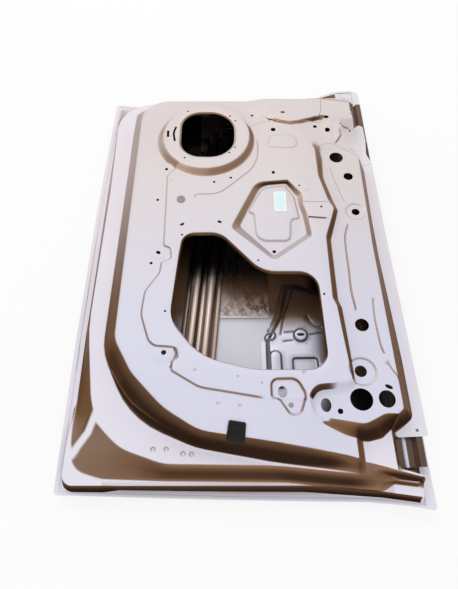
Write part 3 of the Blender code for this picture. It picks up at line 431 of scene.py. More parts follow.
WALL_ONE_EDGE = rounded([(-258, -278, 60), (-218, -347, 80), (-150, -418, 150), (-84, -461, 90),
                         (60, -482, 200), (205, -501, 200), (280, -521, 60), (450, -562, 0),
                         (450, FRONT_FACE_Y, 0), (-256, FRONT_FACE_Y, 76)])


def rear_step_level(points, z):
    """The low step along the rear edge, which runs out into the flange beside the sill wall."""
    share = smooth(points[:, 1], -380.0, -480.0)
    return z + (REAR_STEP_LEVEL - z) * share


def ledge_level(points, z):
    """The seal ledge, which climbs from the front to the rear and falls again towards the belt edge."""
    share = smooth(points[:, 1], 470.0, -480.0)
    fall = LEDGE_END_FALL * smooth(points[:, 0], 190.0, 285.0) * share
    return LEDGE_FRONT_LEVEL + (LEDGE_REAR_LEVEL - LEDGE_FRONT_LEVEL) * share - fall


ledge_level.covers = True


def ridge_level(points, z):
    """The crest that runs down from the ledge's rear corner to the low step."""
    start, end = np.array(SILL_RIDGE[0]), np.array(SILL_RIDGE[-1])
    along = (points - start) @ (end - start) / ((end - start) @ (end - start))
    return LEDGE_REAR_LEVEL - (LEDGE_REAR_LEVEL - REAR_STEP_LEVEL) * np.clip(along, 0.0, 1.0)


ridge_level.covers = True


def rear_dip(points, z):
    """Behind the shoulder the main face falls towards the belt edge."""
    behind = smooth(points[:, 1], -395.0, -450.0)
    fall = REAR_DIP * np.clip((points[:, 0] - 50.0) / 170.0, 0.0, 1.0) ** 1.4
    return z - fall * behind


# Forms of the main face

# The bent rim along each side of the access opening has its own width
ACCESS_OPENING = [(-147, -236, 75), (-84, -316, 120), (20, -343, 160), (165, -343, 36),
                  (160, -127, 38), (42, -127, 70), (-48, -24, 48), (-129, -26, 26), (-136, -90, 60)]
OPENING_LIPS = [2.4, 2.2, 2.2, 2.6, 4.6, 4.2, 5.0, 2.8, 2.4]
SPEAKER_OPENING = [(-148, 205, 50), (-14, 201, 62), (-14, 355, 62), (-148, 355, 50)]
FIELD = [(-141, -347, 8), (-85, -381, 60), (-26, -391, 60), (50, -404, 6), (240, -404, 0),
         (240, 336, 0), (60, 338, 20), (15, 310, 0), (-60, 200, 0), (-150, 185, 0), (-178, 150, 10),
         (-174, -56, 8), (-159, -62, 7),
         (-155, -88, 9), (-176, -98, 6), (-178, -125, 30), (-206, -170, 40), (-210, -225, 60),
         (-186, -296, 30), (-133, -300, 8), (-129, -320, 6), (-141, -325, 4)]
# Beads and creases: a line, half its width, its height (or depth below 0) and its tone
FACE_LINES = [
    ([(-107, 80), (-107, 88), (-98, 91), (-65, 92), (-46, 99), (-25, 117), (-1, 141), (24, 166),
      (36, 188), (43, 211), (45, 241), (44, 269)], 1.5, -0.8, 0.55),
    ([(148, 69), (178, 68), (206, 68)], 1.5, -0.7, 0.45),
    ([(154, 24), (176, 22), (198, 20)], 2.6, -2.2, 1.0),
    ([(148, 135), (157, 127), (162, 116), (160, 107), (150, 101)], 1.5, 0.7, 0.35),
    ([(59, 356), (76, 344), (92, 335)], 2.0, 0.8, 0.25),
    ([(-136, -300), (-132, -312), (-137, -327), (-142, -341)], 1.8, -1.0, 0.6),
]
SHOULDER_LINES = [
    ([(226, 187), (229, 167), (237, 129), (248, 86)], 1.7, -0.9, 0.55),
    ([(248, 15), (241, -5), (237, -28), (236, -69), (236, -108), (235, -158), (239, -204)], 2.2, -1.4, 0.8),
    ([(278, -185), (276, -225), (278, -270), (280, -290), (283, -303)], 1.8, -1.0, 0.6),
    ([(289, -327), (295, -339), (303, -353)], 1.6, -0.8, 0.5),
    ([(257, 315), (259, 297), (252, 283), (243, 271)], 3.0, 2.0, 0.8),
    ([(260, 331), (272, 329), (285, 328)], 1.6, -0.8, 0.6),
]
LEDGE_LINES = [
    ([(-269, -328), (-255, -350), (-242, -370), (-226, -391), (-211, -405), (-180, -428), (-140, -451),
      (-82, -470)], 3.4, 1.6, 0.0),
    ([(-361, 140), (-359, 30), (-358, -85), (-358, -152), (-359, -227), (-356, -287), (-359, -343),
      (-357, -420), (-357, -495)], 1.6, -0.7, 0.35),
    ([(-268, 346), (-273, 318)], 2.4, -1.6, 0.9),
    ([(-278, -143), (-280, -165)], 2.2, -1.5, 0.9),
]
# Areas of painted shade: beside the front belt corner, and the low ledge along the rear edge
CORNER_CUP = [(182, 500, 1), (286, 508, 2), (285, 541, 2), (238, 522, 20)]
REAR_LEDGE = [(-270, -556, 2), (285, -562, 2), (285, -538, 2), (-270, -535, 2)]
# Spot welds
LEDGE_DIMPLES = [(-171, -484), (-146, -484), (-114, -492), (-98, -493)]
FACE_DIMPLES = [(-48, -411), (-7, -415), (-165, 136), (-93, -346), (117, -350)]
BAND_FOOT = [(58, 346, 10), (84, 332, 6), (130, 320, 8), (157, 327, 6), (188, 336, 6), (209, 345, 4),
             (224, 232, 30), (BELT_REACH, 220, 0), (BELT_REACH, 600, 0), (20, 600, 0), (20, 380, 20)]
BAND_EDGE = [(80, 366, 8), (87, 341, 4), (131, 332, 10), (155, 335, 6), (187, 345, 6), (210, 354, 8),
             (264, 348, 30),
             (304, 236, 30), (BELT_REACH, 232, 0), (BELT_REACH, 600, 0), (70, 600, 0), (66, 392, 20)]
POCKET_EDGE = [(72, -94, 12), (160, -27, 14), (154, 32, 30), (147, 62, 30), (147, 94, 10),
               (113, 136, 7), (36, 128, 34), (-24, -6, 14)]
POCKET_FLOOR = [(71, -79, 9), (148, -20, 9), (142, 34, 30), (135, 60, 30), (132, 89, 8),
                (109, 131, 6), (50, 125, 34), (-3, 4, 11)]
POCKET_STEP = [(29, 36, 5), (33, -40, 28), (112, -40, 16), (117, 20, 8), (136, 24, 4),
               (128, 88, 8), (107, 124, 6), (52, 117, 30), (14, 44, 8)]
PAD = [(51, -401, 8), (66, -403, 12), (88, -435, 15), (109, -428, 15), (121, -394, 26),
       (104, -360, 22), (51, -361, 16)]
OVAL = [(66, 242, 8), (106, 238, 24), (146, 240, 16), (142, 287, 24), (76, 287, 24)]
SHOULDER_FOOT = [(130, -426, 10), (141, -438, 20), (190, -461, 60), (236, -471, 26), (266, -464, 16),
                 (286, -446, 14), (331, -430, 12), (BELT_REACH, -430, 0), (BELT_REACH, 352, 0), (222, 352, 6),
                 (158, 329, 8), (147, 314, 6), (187, 238, 12), (189, 150, 60), (205, 76, 30),
                 (217, 50, 10), (208, 20, 12), (191, -30, 30), (190, -186, 12), (197, -204, 12),
                 (211, -368, 12), (138, -374, 26), (124, -396, 18)]
SHOULDER_EDGE = [(141, -432, 6), (228, -444, 30), (262, -427, 30), (304, -409, 14),
                 (BELT_REACH, -404, 0), (BELT_REACH, 224, 0), (302, 227, 20), (257, 246, 20),
                 (208, 246, 10), (203, 158, 60),
                 (218, 92, 30), (228, 56, 9), (218, 22, 12), (203, -28, 30), (203, -184, 12),
                 (209, -202, 12), (218, -375, 10), (145, -380, 26), (130, -399, 16)]
STRIP_FOOT = [(287, -446, 6), (288, -520, 0), (BELT_REACH, -520, 0), (BELT_REACH, 440, 0),
              (296, 440, 0), (295, 340, 3), (259, 340, 8), (266, 272, 24), (300, 230, 16), (299, 60, 200),
              (298, -40, 200), (304, -416, 8), (291, -427, 10)]
STRIP_EDGE = [(296, -448, 4), (298, -506, 0), (BELT_REACH, -506, 0), (BELT_REACH, 430, 0),
              (310, 430, 0), (311, 350, 6), (326, 330, 20), (331, 300, 40), (326, 255, 20), (324, 60, 200),
              (325, -40, 200), (336, -300, 300), (337, -420, 20), (312, -440, 14)]
REAR_DROP_FOOT = [(215, -600, 0), (BELT_REACH, -600, 0), (BELT_REACH, -425, 0), (213, -425, 0)]
REAR_DROP_EDGE = [(229, -600, 0), (BELT_REACH, -600, 0), (BELT_REACH, -431, 0), (227, -431, 0)]


def field_tone(points):
    """The raised field's edge gets half the painted wall shade, and none where it runs across the rear
    recess.
    """
    return 0.5 - 0.5 * smooth(points[:, 0], 28.0, 46.0) * smooth(points[:, 1], -330.0, -360.0)


def shoulder_tone(points):
    """The shoulder's wall gets almost no painted wall shade where it crosses in front of the platform."""
    x, y = points[:, 0], points[:, 1]
    across = smooth(x, 160.0, 192.0) * smooth(x, 240.0, 222.0)
    platform = across * smooth(y, -402.0, -394.0) * smooth(y, -355.0, -366.0)
    corner = smooth(x, 152.0, 140.0) * smooth(y, -392.0, -402.0) * smooth(y, -446.0, -438.0)
    front = (smooth(y, 214.0, 232.0) * smooth(x, 196.0, 208.0)
             + smooth(y, 236.0, 262.0) * smooth(x, 196.0, 180.0))
    arc = smooth(x, 124.0, 136.0) * smooth(x, 215.0, 205.0)
    arc = arc * smooth(y, -396.0, -386.0) * smooth(y, -362.0, -370.0)
    return (1.0 - 0.95 * np.clip(platform + corner + front, 0.0, 1.0)) * (1.0 - 0.5 * arc)


def speaker_tone(points):
    """The wall of the speaker ring gets more painted wall shade towards the belt edge."""
    return 0.85 + 0.75 * smooth(points[:, 0], -135.0, -55.0)


def strip_tone(points):
    """The strip's wall gets no painted wall shade beside the mirror corner."""
    return 1.0 - smooth(points[:, 1], 222.0, 240.0) * smooth(points[:, 1], 352.0, 342.0)


FRONT_BAND = Form(rounded(BAND_FOOT), rounded(BAND_EDGE), to_level(FACE_LEVEL + FRONT_BAND_RISE), 3.0,
                  1.0, 0.34)


def face_forms():
    """Every form pressed into the main face, in the order in which it is applied."""
    speaker_foot = circle(-86, 266, 121, 96)
    speaker_edge = circle(-84, 276, 109, 96)
    opening_lip = inset(ACCESS_OPENING, [-w for w in OPENING_LIPS])
    speaker_lip = inset(SPEAKER_OPENING, -4.0)
    return [
        Everywhere(rear_dip),
        rim(FIELD, 3.4, raised(FIELD_RISE), 1.6, field_tone),
        FRONT_BAND,
        Form(speaker_foot, speaker_edge, to_level(FACE_LEVEL + SPEAKER_RISE), 4.5, speaker_tone),
        Form(rounded(speaker_lip, 8.0), rounded(SPEAKER_OPENING, 8.0), raised(-3.0), 1.6),
        Form(rounded(POCKET_EDGE, 9.0), rounded(POCKET_FLOOR, 9.0), raised(-9.0), 3.0),
        rim(POCKET_STEP, 4.0, raised(3.5), 1.8, 0.35),
        rim(OVAL, 4.0, raised(2.0), 1.8, 0.3),
        rim(PAD, 4.0, raised(-4.0), 1.8, 0.5),
        dish(-156, -309, 23, 6, raised(1.6), tone=0.2),
        dish(-180, 170, 20, 5, raised(0.8), tone=0.1),
        dish(-183, -73, 19, 5, raised(1.2), tone=0.15),
        *(bead(*row) for row in FACE_LINES),
        *(dish(x, y, 3.8, 2.6, raised(-0.9), 0.8, tone=0.35) for x, y in FACE_DIMPLES),
        Form(rounded(REAR_DROP_FOOT), rounded(REAR_DROP_EDGE), raised(-12.0), 3.0),
        Form(rounded(SHOULDER_FOOT), rounded(SHOULDER_EDGE), to_level(SHOULDER_LEVEL), 4.0,
             shoulder_tone, 0.2),
        *(bead(*row) for row in SHOULDER_LINES),
        dish(271, 54, 25, 4, raised(-1.6)),
        dish(234, -342, 30, 4, raised(-1.6)),
        Form(rounded(STRIP_FOOT), rounded(STRIP_EDGE), to_level(STRIP_LEVEL), 4.0, strip_tone),
        Form(rounded(opening_lip, 8.0), rounded(ACCESS_OPENING, 8.0), raised(-5.0), 1.8),
    ]


FACE_FORMS = face_forms()


def face_level(points, z):
    """Height of the main face with all its forms."""
    return pressed(points, lambda p: np.full(len(p), FACE_LEVEL), FACE_FORMS)


WALL_ONE = Form(WALL_ONE_FOOT, WALL_ONE_EDGE, face_level, 6.0)
PANEL_FORMS = [
    Form(REAR_STEP_FOOT, REAR_STEP_EDGE, rear_step_level, 2.6),
    Form(WALL_TWO_FOOT, WALL_TWO_EDGE, ledge_level, 6.0),
    Form(spaced(ribbon(SILL_RIDGE, 15.0)), spaced(ribbon(SILL_RIDGE, 2.5)), ridge_level, 3.0, 0.0),
    *(bead(*row) for row in LEDGE_LINES),
    *(dish(x, y, 5.5, 3.5, raised(-1.2), 1.0, tone=0.45) for x, y in LEDGE_DIMPLES),
    WALL_ONE,
    # Painted shade on the low ledge along the rear edge and in the cup beside the front belt corner
    ShadePatch(rounded(REAR_LEDGE, 6.0), rounded(inset(REAR_LEDGE, 4.0), 6.0), None, 1.5, 0.30),
    ShadePatch(rounded(CORNER_CUP, 6.0), rounded(inset(CORNER_CUP, 3.0), 6.0), None, 1.5, 2.2),
]


def panel_height(points, tones=None):
    """Upper face of the inner panel."""
    return pressed(points, flange_top, PANEL_FORMS, tones)


# Holes: (x, y, radius, length over width, angle in degrees)

BIG_HOLES = [
    (243, 226, 17, 1.0, 0), (266, 163, 11.5, 1.0, 0), (271, 54, 9.5, 1.0, 0),
    (247, -241, 14.5, 1.0, 0), (232, -341, 12, 1.0, 0), (226, -398, 22, 1.0, 0),
    (275, -397, 16, 1.08, 90), (157, -409, 10, 1.35, 90),
]
SMALL_HOLES = [
    (-180, 171, 4, 1.0, 0), (-195, 76, 3.5, 1.0, 0), (-63, 129, 3.2, 1.0, 0), (-23, 142, 3.2, 1.0, 0),
    (33, 359, 3.6, 1.0, 0), (86, 305, 6.4, 1.0, 0), (113, 363, 3.4, 1.8, 0), (80, 159, 4, 1.2, 90),
    (-134, 3, 3.4, 1.6, 30), (-49, 10, 3.4, 1.6, 150), (-183, -73, 4, 1.4, 150),
    (-197, -100, 3.4, 1.0, 0), (-156, -309, 5.2, 1.0, 0), (187, 54, 2.8, 1.0, 0),
    (73, -66, 4.2, 1.0, 0), (89, -412, 5.2, 1.0, 0), (74, -388, 9, 1.3, 90),
    (282, -373, 4, 2.0, 155), (183, -421, 5.4, 1.0, 0), (341, -444, 3.2, 1.0, 0),
    (-134, 361, 2.6, 1.0, 0), (-25, 344, 2.6, 1.0, 0), (-27, 215, 2.6, 1.0, 0), (-136, 198, 2.6, 1.0, 0),
    (-11, 326, 2.4, 1.0, 0), (-13, 233, 2.4, 1.0, 0), (-133, -26, 2.6, 1.0, 0), (-159, -218, 2.6, 1.0, 0),
    (-11, -358, 2.4, 1.0, 0), (35, -371, 2.4, 1.0, 0), (36, -94, 2.4, 1.0, 0), (172, -178, 2.6, 1.0, 0),
    (140, 118, 2.4, 1.0, 0), (-347, 395, 3.4, 1.0, 0),
]
# Curved slots beside the speaker hole: a line and half its width
SLOTS = [([(-162, 305), (-167, 282), (-163, 254)], 2.6), ([(-182, 291), (-181, 268)], 3.0)]
MIRROR_HOLES = [
    (195, 320, 4.2, 1.2, 0), (226, 348, 3.4, 1.8, 0), (227, 311, 6.6, 1.0, 0), (315, 326, 3.2, 1.0, 0),
    (290, 325, 2.6, 1.0, 0), (289, 262, 3.6, 1.0, 0),
]

# Edges of the panel and of the mirror plate, and the seam between the two

BELT_OUTLINE = [
    (293, -518, 3), (293, -458, 2), (361, -455, 4), (360, -400, 60), (356, -159, 300), (352, 20, 300),
    (351, 259, 3),
]
MIRROR_SEAM = [(299, 231, 4), (274, 247, 10), (257, 257, 10), (233, 270, 20), (206, 262, 4), (189, 240, 3),
               (148, 314, 6), (157, 326, 6), (206, 345.5, 5), (213, 372, 3), (216, 413.5, 2),
               (291, 401.5, 2)]
# The seam is open where the photo's door shows it, and closed along the bent stretch below the band
SEAM_GAP = 0.8
HIDDEN_SEAM_GAP = 0.12
MIRROR_FREE_EDGE = [(351, 259, 3), (341, 290, 12), (346, 340, 20), (345, 393, 5), (333, 400, 4),
                    (317, 386, 6), (309, 365, 6), (291, 365, 4)]

# The front wall: its two hinges and its check link, and the plates behind it
HINGE_PLACES = [-112.0, 190.0]
HINGE_BOLT_SPREAD = 44.0
HINGE_BOLT_RADIUS = 6.5
# Place, half its width and the length over the width of the check link's slot
CHECK_SLOT = (-20.0, 7.0, 2.0)
# Node, place, width, and reach over the main face
WALL_PLATES = [("hinge_reinforcement_lower", HINGE_PLACES[0], 100.0, 28.0),
               ("hinge_reinforcement_upper", HINGE_PLACES[1], 100.0, 28.0),
               ("check_link_plate", CHECK_SLOT[0], 70.0, 24.0)]
# Clearance between the panel and the plates behind it
NEST_GAP = 0.4
# A hole in a plate behind the panel is this much larger in radius than the panel's own
HOLE_PLAY = 1.0
SASH_TOP = [(146, 418.9, 1), (216, 415.2, 6), (291.5, 403.2, 2), (291.5, 418.9, 2)]
SASH_TOP_HOLE = (278, 412, 3.4, 1.0, 0)


def wall_hole(x, radius, stretch=1.0):
    """Plan outline of a hole in the front wall: true on the wall, so narrow in plan."""
    rise = float(panel_height(np.array([(x, FRONT_FACE_Y - 1.0)]))[0]) - LEDGE_FRONT_LEVEL
    squash = FRONT_WALL_RUN / math.hypot(rise, FRONT_WALL_RUN)
    return circle(x, FRONT_FACE_Y + FRONT_WALL_RUN / 2.0, radius * squash, 20, stretch / squash)


def hinge_holes(x, radius):
    """The two bolt holes of one hinge."""
    return [wall_hole(x + side * HINGE_BOLT_SPREAD / 2.0, radius) for side in (-1.0, 1.0)]


def front_wall_holes():
    """Bolt holes of both hinges and the slot of the check link."""
    holes = [hole for x in HINGE_PLACES for hole in hinge_holes(x, HINGE_BOLT_RADIUS)]
    return holes + [wall_hole(*CHECK_SLOT)]


# The panel's slope at a point is taken from its height this far to either side
SLOPE_REACH = 0.5


def below_panel(points, depth):
    """Height of a surface that lies a true distance under the inner panel's upper face."""
    squares = 0.0
    for way in ((SLOPE_REACH, 0.0), (0.0, SLOPE_REACH)):
        rise = panel_height(points + way) - panel_height(points - way)
        squares = squares + (rise / (2.0 * SLOPE_REACH)) ** 2
    return panel_height(points) - depth * np.sqrt(1.0 + squares)


def oval_holes(rows, count):
    """Outlines of a list of round or oval holes."""
    return [circle(x, y, r, count, stretch, math.radians(angle)) for x, y, r, stretch, angle in rows]


def panel_corners():
    """Edge of the inner panel: inside the hem on three sides, free along the belt edge."""
    edge = inset(SKIN_CORNERS, PANEL_EDGE_INSET)
    rear = [edge[0], edge[1], (334, edge[1][1] - 9.5, 3), (336, -531, 3)]
    front = [(291, 569.5, 4), (282, 570, 30)]
    return rear + BELT_OUTLINE + MIRROR_SEAM + front + edge[8:]


# The clip on the rear edge, with the height of its upper face over the panel, and the weld nuts

CLIP_PLAN = [(-33, -476, 3), (1, -482, 3), (4, -447, 4), (-28, -442, 4)]
CLIP_GAUGE = 1.0
CLIP_LIFT = 2.9
NUT_PLACES = [(-180.0, 171.0), (-195.0, 76.0), (33.0, 359.0)]
NUT_RADIUS = 8.0
NUT_BORE = 4.6
NUT_HEIGHT = 5.0

# The handle plate on the skin

HANDLE_PLATE = [(44, -342, 10), (278, -342, 12), (286, -190, 30), (196, -112, 40), (132, -84, 16),
                (98, -84, 12), (76, -170, 30), (44, -240, 30)]
HANDLE_HOLES = [(65, -226, 4.5, 1.0, 0), (132, -226, 4, 2.2, 0), (226, -250, 16, 1.4, 0),
                (232, -310, 6, 1.0, 0)]
HANDLE_BODY = [(56, -330, 8), (268, -330, 12), (274, -196, 30), (190, -124, 40), (128, -98, 12),
               (106, -98, 10), (88, -176, 30), (56, -236, 26)]
HANDLE_ARCH = [(60, -344, 0), (88, -344, 0), (88, -262, 14), (60, -262, 14)]
HANDLE_RECESS = [(110, -330, 0), (168, -330, 0), (166, -278, 8), (110, -278, 8)]
HANDLE_LINES = [
    ([(62, -208), (70, -176), (84, -130), (95, -100)], 2.4, -2.2, 0.9),
    ([(88, -222), (96, -184), (112, -138), (124, -104)], 2.4, -2.2, 0.9),
    ([(97, -218), (118, -216)], 2.2, -1.6, 0.9), ([(92, -240), (116, -237)], 2.2, -1.6, 0.9),
    ([(151, -182), (157, -196), (170, -206), (184, -208)], 2.4, -2.2, 0.9),
    ([(152, -224), (166, -222), (184, -220)], 2.4, -1.8, 0.9),
]


def handle_forms():
    """Raised body of the handle plate with its arms, arch channel, boss, slot pad and recess."""
    return [
        rim(HANDLE_BODY, 6.0, raised(16.0), 2.6, 0.8),
        rim(HANDLE_ARCH, 3.6, raised(6.0), 1.6, 0.8),
        *(bead(*row) for row in HANDLE_LINES),
        dish(65, -226, 13, 4, raised(3.0), tone=1.0),
        dish(132, -226, 17, 4, raised(5.0), tone=1.0),
        rim(HANDLE_RECESS, 3.0, raised(-5.0), 1.4, 0.7),
    ]


HANDLE_FORMS = handle_forms()
HANDLE_SEAT = 0.5


def handle_plate_height(points, tones=None):
    """Upper face of the handle plate."""
    lift = SKIN_GAUGE + HANDLE_SEAT + REINFORCEMENT_GAUGE
    return pressed(points, lambda p: skin_underside(p) + lift, HANDLE_FORMS, tones)


# Building sheets

def kept_runs(line, outline):
    """The stretches of a closed line that lie inside an outline, as open lists of points."""
    keep = inside(line, outline)
    if keep.all():
        return [np.vstack((line, line[:1]))]
    if not keep.any():
        return []
    start = int(np.nonzero(~keep)[0][0])
    line, keep = np.roll(line, -start, 0), np.roll(keep, -start)
    runs, run = [], []
    for point, good in zip(line, keep):
        if good:
            run.append(point)
        elif run:
            runs.append(np.array(run))
            run = []
    if run:
        runs.append(np.array(run))
    return [r for r in runs if len(r) > 1]


def triangulate(outline, holes, lines, grid_step):
    """Constrained triangulation of a flat region, keeping every line as edges."""
    points, edges = [], []

    def add(line, closed):
        first = len(points)
        points.extend(map(tuple, line))
        count = len(line)
        edges.extend((first + k, first + (k + 1) % count) for k in range(count if closed else count - 1))
    for loop in [outline] + holes:
        add(loop, True)
    for line in lines:
        for run in kept_runs(line, outline):
            add(run, False)
    fixed = np.array(points)
    low, high = outline.min(0), outline.max(0)
    across = np.arange(math.ceil(low[0] / grid_step), math.floor(high[0] / grid_step) + 1) * grid_step
    along = np.arange(math.ceil(low[1] / grid_step), math.floor(high[1] / grid_step) + 1) * grid_step
    grid = np.array([(x, y) for x in across for y in along])
    if len(grid):
        taken = set(map(tuple, (fixed // GRID_CLEARANCE).tolist()))
        free = [tuple(cell) not in taken for cell in (grid // GRID_CLEARANCE).tolist()]
        grid = grid[np.array(free) & inside(grid, outline)]
        points.extend(map(tuple, grid))
    result = geometry.delaunay_2d_cdt([Vector(p) for p in points], edges, [], 0, PLAN_MERGE)
    flat = np.array([tuple(v) for v in result[0]])
    faces = np.array(result[2])
    centres = flat[faces].mean(1)
    keep = inside(centres, outline)
    for hole in holes:
        keep &= ~inside(centres, hole)
    faces = faces[keep]
    used = np.unique(faces)
    index = np.full(len(flat), -1)
    index[used] = np.arange(len(used))
    return flat[used], index[faces]


# Points of a piece closer than this are merged, edges shorter than the next are dissolved, in metres
MERGE_DISTANCE = 0.00003
SHORT_EDGE = 0.00002
SHARP_ANGLE = math.radians(38.0)


def add_piece(name, points, faces, material, gauge, offset=-1.0, fields=None):
    """A named piece from points in plan millimetres: a sheet whose gauge, in metres, goes to one side
    of them, or to both."""
    points = np.asarray(points, float) - (*PLAN_MIDDLE, 0.0)
    mesh = bpy.data.meshes.new(name)
    mesh.from_pydata((points * MM).tolist(), [], [list(map(int, f)) for f in faces])
    for key, values in (fields or {}).items():
        mesh.attributes.new(key, "FLOAT", "POINT").data.foreach_set("value", values.astype(np.float32))
    bm = bmesh.new()
    bm.from_mesh(mesh)
    bmesh.ops.remove_doubles(bm, verts=bm.verts, dist=MERGE_DISTANCE)
    bmesh.ops.dissolve_degenerate(bm, edges=bm.edges, dist=SHORT_EDGE)
    bm.to_mesh(mesh)
    bm.free()
    item = bpy.data.objects.new(name, mesh)
    bpy.context.scene.collection.objects.link(item)
    solid = item.modifiers.new("gauge", "SOLIDIFY")
    solid.thickness = gauge
    solid.offset = offset
    solid.use_even_offset = False
    item = plain_mesh(item)
    item.data.shade_smooth()
    item.data.set_sharp_from_angle(angle=SHARP_ANGLE)
    item.data.materials.clear()
    item.data.materials.append(material)
    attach(item, "root")
    return item


def plain_mesh(item):
    """The same object with its modifiers turned into a plain mesh."""
    graph = bpy.context.evaluated_depsgraph_get()
    mesh = bpy.data.meshes.new_from_object(item.evaluated_get(graph))
    item.modifiers.clear()
    item.data = mesh
    return item


def sheet(name, outline, holes, forms, base, gauge, material, grid_step=GRID_STEP):
    """A pressed sheet: a triangulated plan raised to its height and given its gauge, in metres.

    The forms only say where the mesh has its lines; the height is that of base."""
    lines = []
    for form in forms:
        lines += form.rings()
    flat, faces = triangulate(outline, holes, lines, grid_step)
    tones = np.zeros((2, len(flat)))
    points = np.column_stack((flat, base(flat, tones)))
    corner = points[faces]
    normal = np.cross(corner[:, 1] - corner[:, 0], corner[:, 2] - corner[:, 0])
    faces = np.where((normal[:, 2] < 0.0)[:, None], faces[:, ::-1], faces)
    return add_piece(name, points, faces, material, gauge, fields={"drawn": tones[0], "rise": tones[1]})


def ring_points(corners, reference):
    """An outline with the same number of points as the reference one, side for side."""
    def arc(rows, k):
        return corner_arc(rows[k - 1], rows[k % len(rows)], rows[(k + 1) % len(rows)])

    points = []
    for k in range(len(corners)):
        here, following = arc(corners, k), arc(corners, k + 1)
        wanted_here, wanted_next = arc(reference, k), arc(reference, k + 1)
        points += here
        gap = np.hypot(*(wanted_next[0] - wanted_here[-1]))
        extra = max(1, math.ceil(gap / LINE_STEP))
        points += [here[-1] + (following[0] - here[-1]) * j / extra for j in range(1, extra)]
    return np.array(points)


# Paint

def add_node(tree, kind, settings=None, sockets=None):
    """One node: its settings first, then the values or links of its sockets."""
    made = tree.nodes.new(kind)
    for key, value in (settings or {}).items():
        setattr(made, key, value)
    for key, value in (sockets or {}).items():
        feed(tree, made.inputs[key], value)
    return made


def feed(tree, socket, value):
    """Link a socket to another one, or set its value."""
    value = getattr(value, "socket", value)
    if isinstance(value, bpy.types.NodeSocket):
        tree.links.new(value, socket)
    elif socket.type == "RGBA":
        socket.default_value = (*value, 1.0)
    else:
        socket.default_value = value


class Field:
    """A socket of a material that takes part in arithmetic as a number does."""

    def __init__(self, paint, socket):
        self.paint, self.socket = paint, socket

    def maths(self, operation, *values):
        """The result of one Math node."""
        return self.paint.node("ShaderNodeMath", {"operation": operation}, dict(enumerate(values)))

    def __add__(self, other):
        return self.maths("ADD", self, other)

    def __radd__(self, other):
        return self.maths("ADD", other, self)

    def __sub__(self, other):
        return self.maths("SUBTRACT", self, other)

    def __rsub__(self, other):
        return self.maths("SUBTRACT", other, self)

    def __mul__(self, other):
        return self.maths("MULTIPLY", self, other)

    def __rmul__(self, other):
        return self.maths("MULTIPLY", other, self)

    def over(self, low, high):
        """0 at low, 1 at high, with a soft start and end."""
        return self.paint.node("ShaderNodeMapRange", {"interpolation_type": "SMOOTHSTEP"},
                               {"Value": self, "From Min": low, "From Max": high})


class Paint:
    """A material under construction."""

    def __init__(self, name):
        self.material = bpy.data.materials.new(name)
        self.material.use_nodes = True
        self.tree = self.material.node_tree
        self.shader = self.tree.nodes["Principled BSDF"]

    def node(self, kind, settings=None, sockets=None, output=0):
        """The stated output of a new node."""
        return Field(self, add_node(self.tree, kind, settings, sockets).outputs[output])

    def set(self, **sockets):
        """Values or links of the shader's own sockets, with _ for a space in their names."""
        for key, value in sockets.items():
            feed(self.tree, self.shader.inputs[key.replace("_", " ")], value)

    def place(self):
        """The place on the piece, in metres from the origin."""
        return self.node("ShaderNodeTexCoord", output="Object")

    def facing(self, axis):
        """How far the surface faces along one axis, from -1 to 1."""
        normal = self.node("ShaderNodeTexCoord", output="Normal")
        return self.node("ShaderNodeSeparateXYZ", None, {0: normal}, axis)

    def up(self):
        """How far the surface faces upwards, from 1 on a flat to 0 on an upright wall."""
        return self.facing("Z")

    def band(self, value, low, high, soft):
        """1 between two values, fading to 0 outside them."""
        return value.over(low - soft, low + soft) * (1.0 - value.over(high - soft, high + soft))

    def along(self, axis):
        """Distance from the origin along one axis, in metres."""
        return self.node("ShaderNodeSeparateXYZ", None, {0: self.place()}, axis)

    def field(self, name):
        """A value that the mesh carries for each point."""
        return self.node("ShaderNodeAttribute", {"attribute_name": name}, output="Fac")

    def hollow(self):
        """1 on the upper face of the skin where the inner panel covers it."""
        return self.field("hollow") * self.up().over(0.2, 0.6)

    def dim(self, finish, pale):
        """Colour of the skin inside the door: painted shade, near-black towards the hinge and belt edges and
        brown towards the latch edge, with painted light in a pale patch under the access opening.
        """
        across, along = self.along("X"), self.along("Y")
        opening_light = along.over(-0.150, -0.185) * across.over(-0.16, -0.10) * (1.0 - across.over(0.15, 0.20))
        opening_light = opening_light * along.over(-0.42, -0.36)
        middle = self.mix(along.over(0.06, -0.12) * (1.0 - across.over(0.15, 0.18)), tuple(finish.cavity_shade),
                          tuple(finish.wall))
        return self.mix(opening_light, middle, pale)

    def noise(self, scale, detail=3.0, roughness=0.5, stretch=None):
        """Soft noise with so many waves to the metre, drawn out where stretch is under 1."""
        place = self.place()
        if stretch:
            place = self.node("ShaderNodeMapping", None, {"Vector": place, "Scale": stretch})
        return self.node("ShaderNodeTexNoise", None,
                         {"Vector": place, "Scale": scale, "Detail": detail, "Roughness": roughness})

    def mix(self, share, first, second):
        """A colour between two others."""
        return self.node("ShaderNodeMix", {"data_type": "RGBA"}, {0: share, 6: first, 7: second}, 2)

    def bump(self, height, strength, depth):
        """A normal that follows a height."""
        return self.node("ShaderNodeBump", None,
                         {"Height": height, "Strength": strength, "Distance": depth})


# Tone of the reflections on the drawn walls that are seen at a low angle
EDGE_TINT = (0.58, 0.46, 0.38)

# The beam's middle line: x is BEAM_MIDDLE + BEAM_SLANT * y, in metres from the origin; the wave of its
# painted highlights and shade has one turn for each valley
BEAM_SLANT = 0.07056
BEAM_MIDDLE = -0.07706
BEAM_WAVE = 2.0 * math.pi / 0.0165


# Where a painted highlight lies as a pale band on the belt reinforcement that shows in the rear notch, across
# the door, in metres
NOTCH_HIGHLIGHT = (0.3125, 0.3215)


def linear(red, green, blue):
    """A colour written in screen values from 0 to 255, as light values."""
    return tuple(((v / 255.0) / 12.92 if v <= 10 else ((v / 255.0 + 0.055) / 1.055) ** 2.4)
                 for v in (red, green, blue))


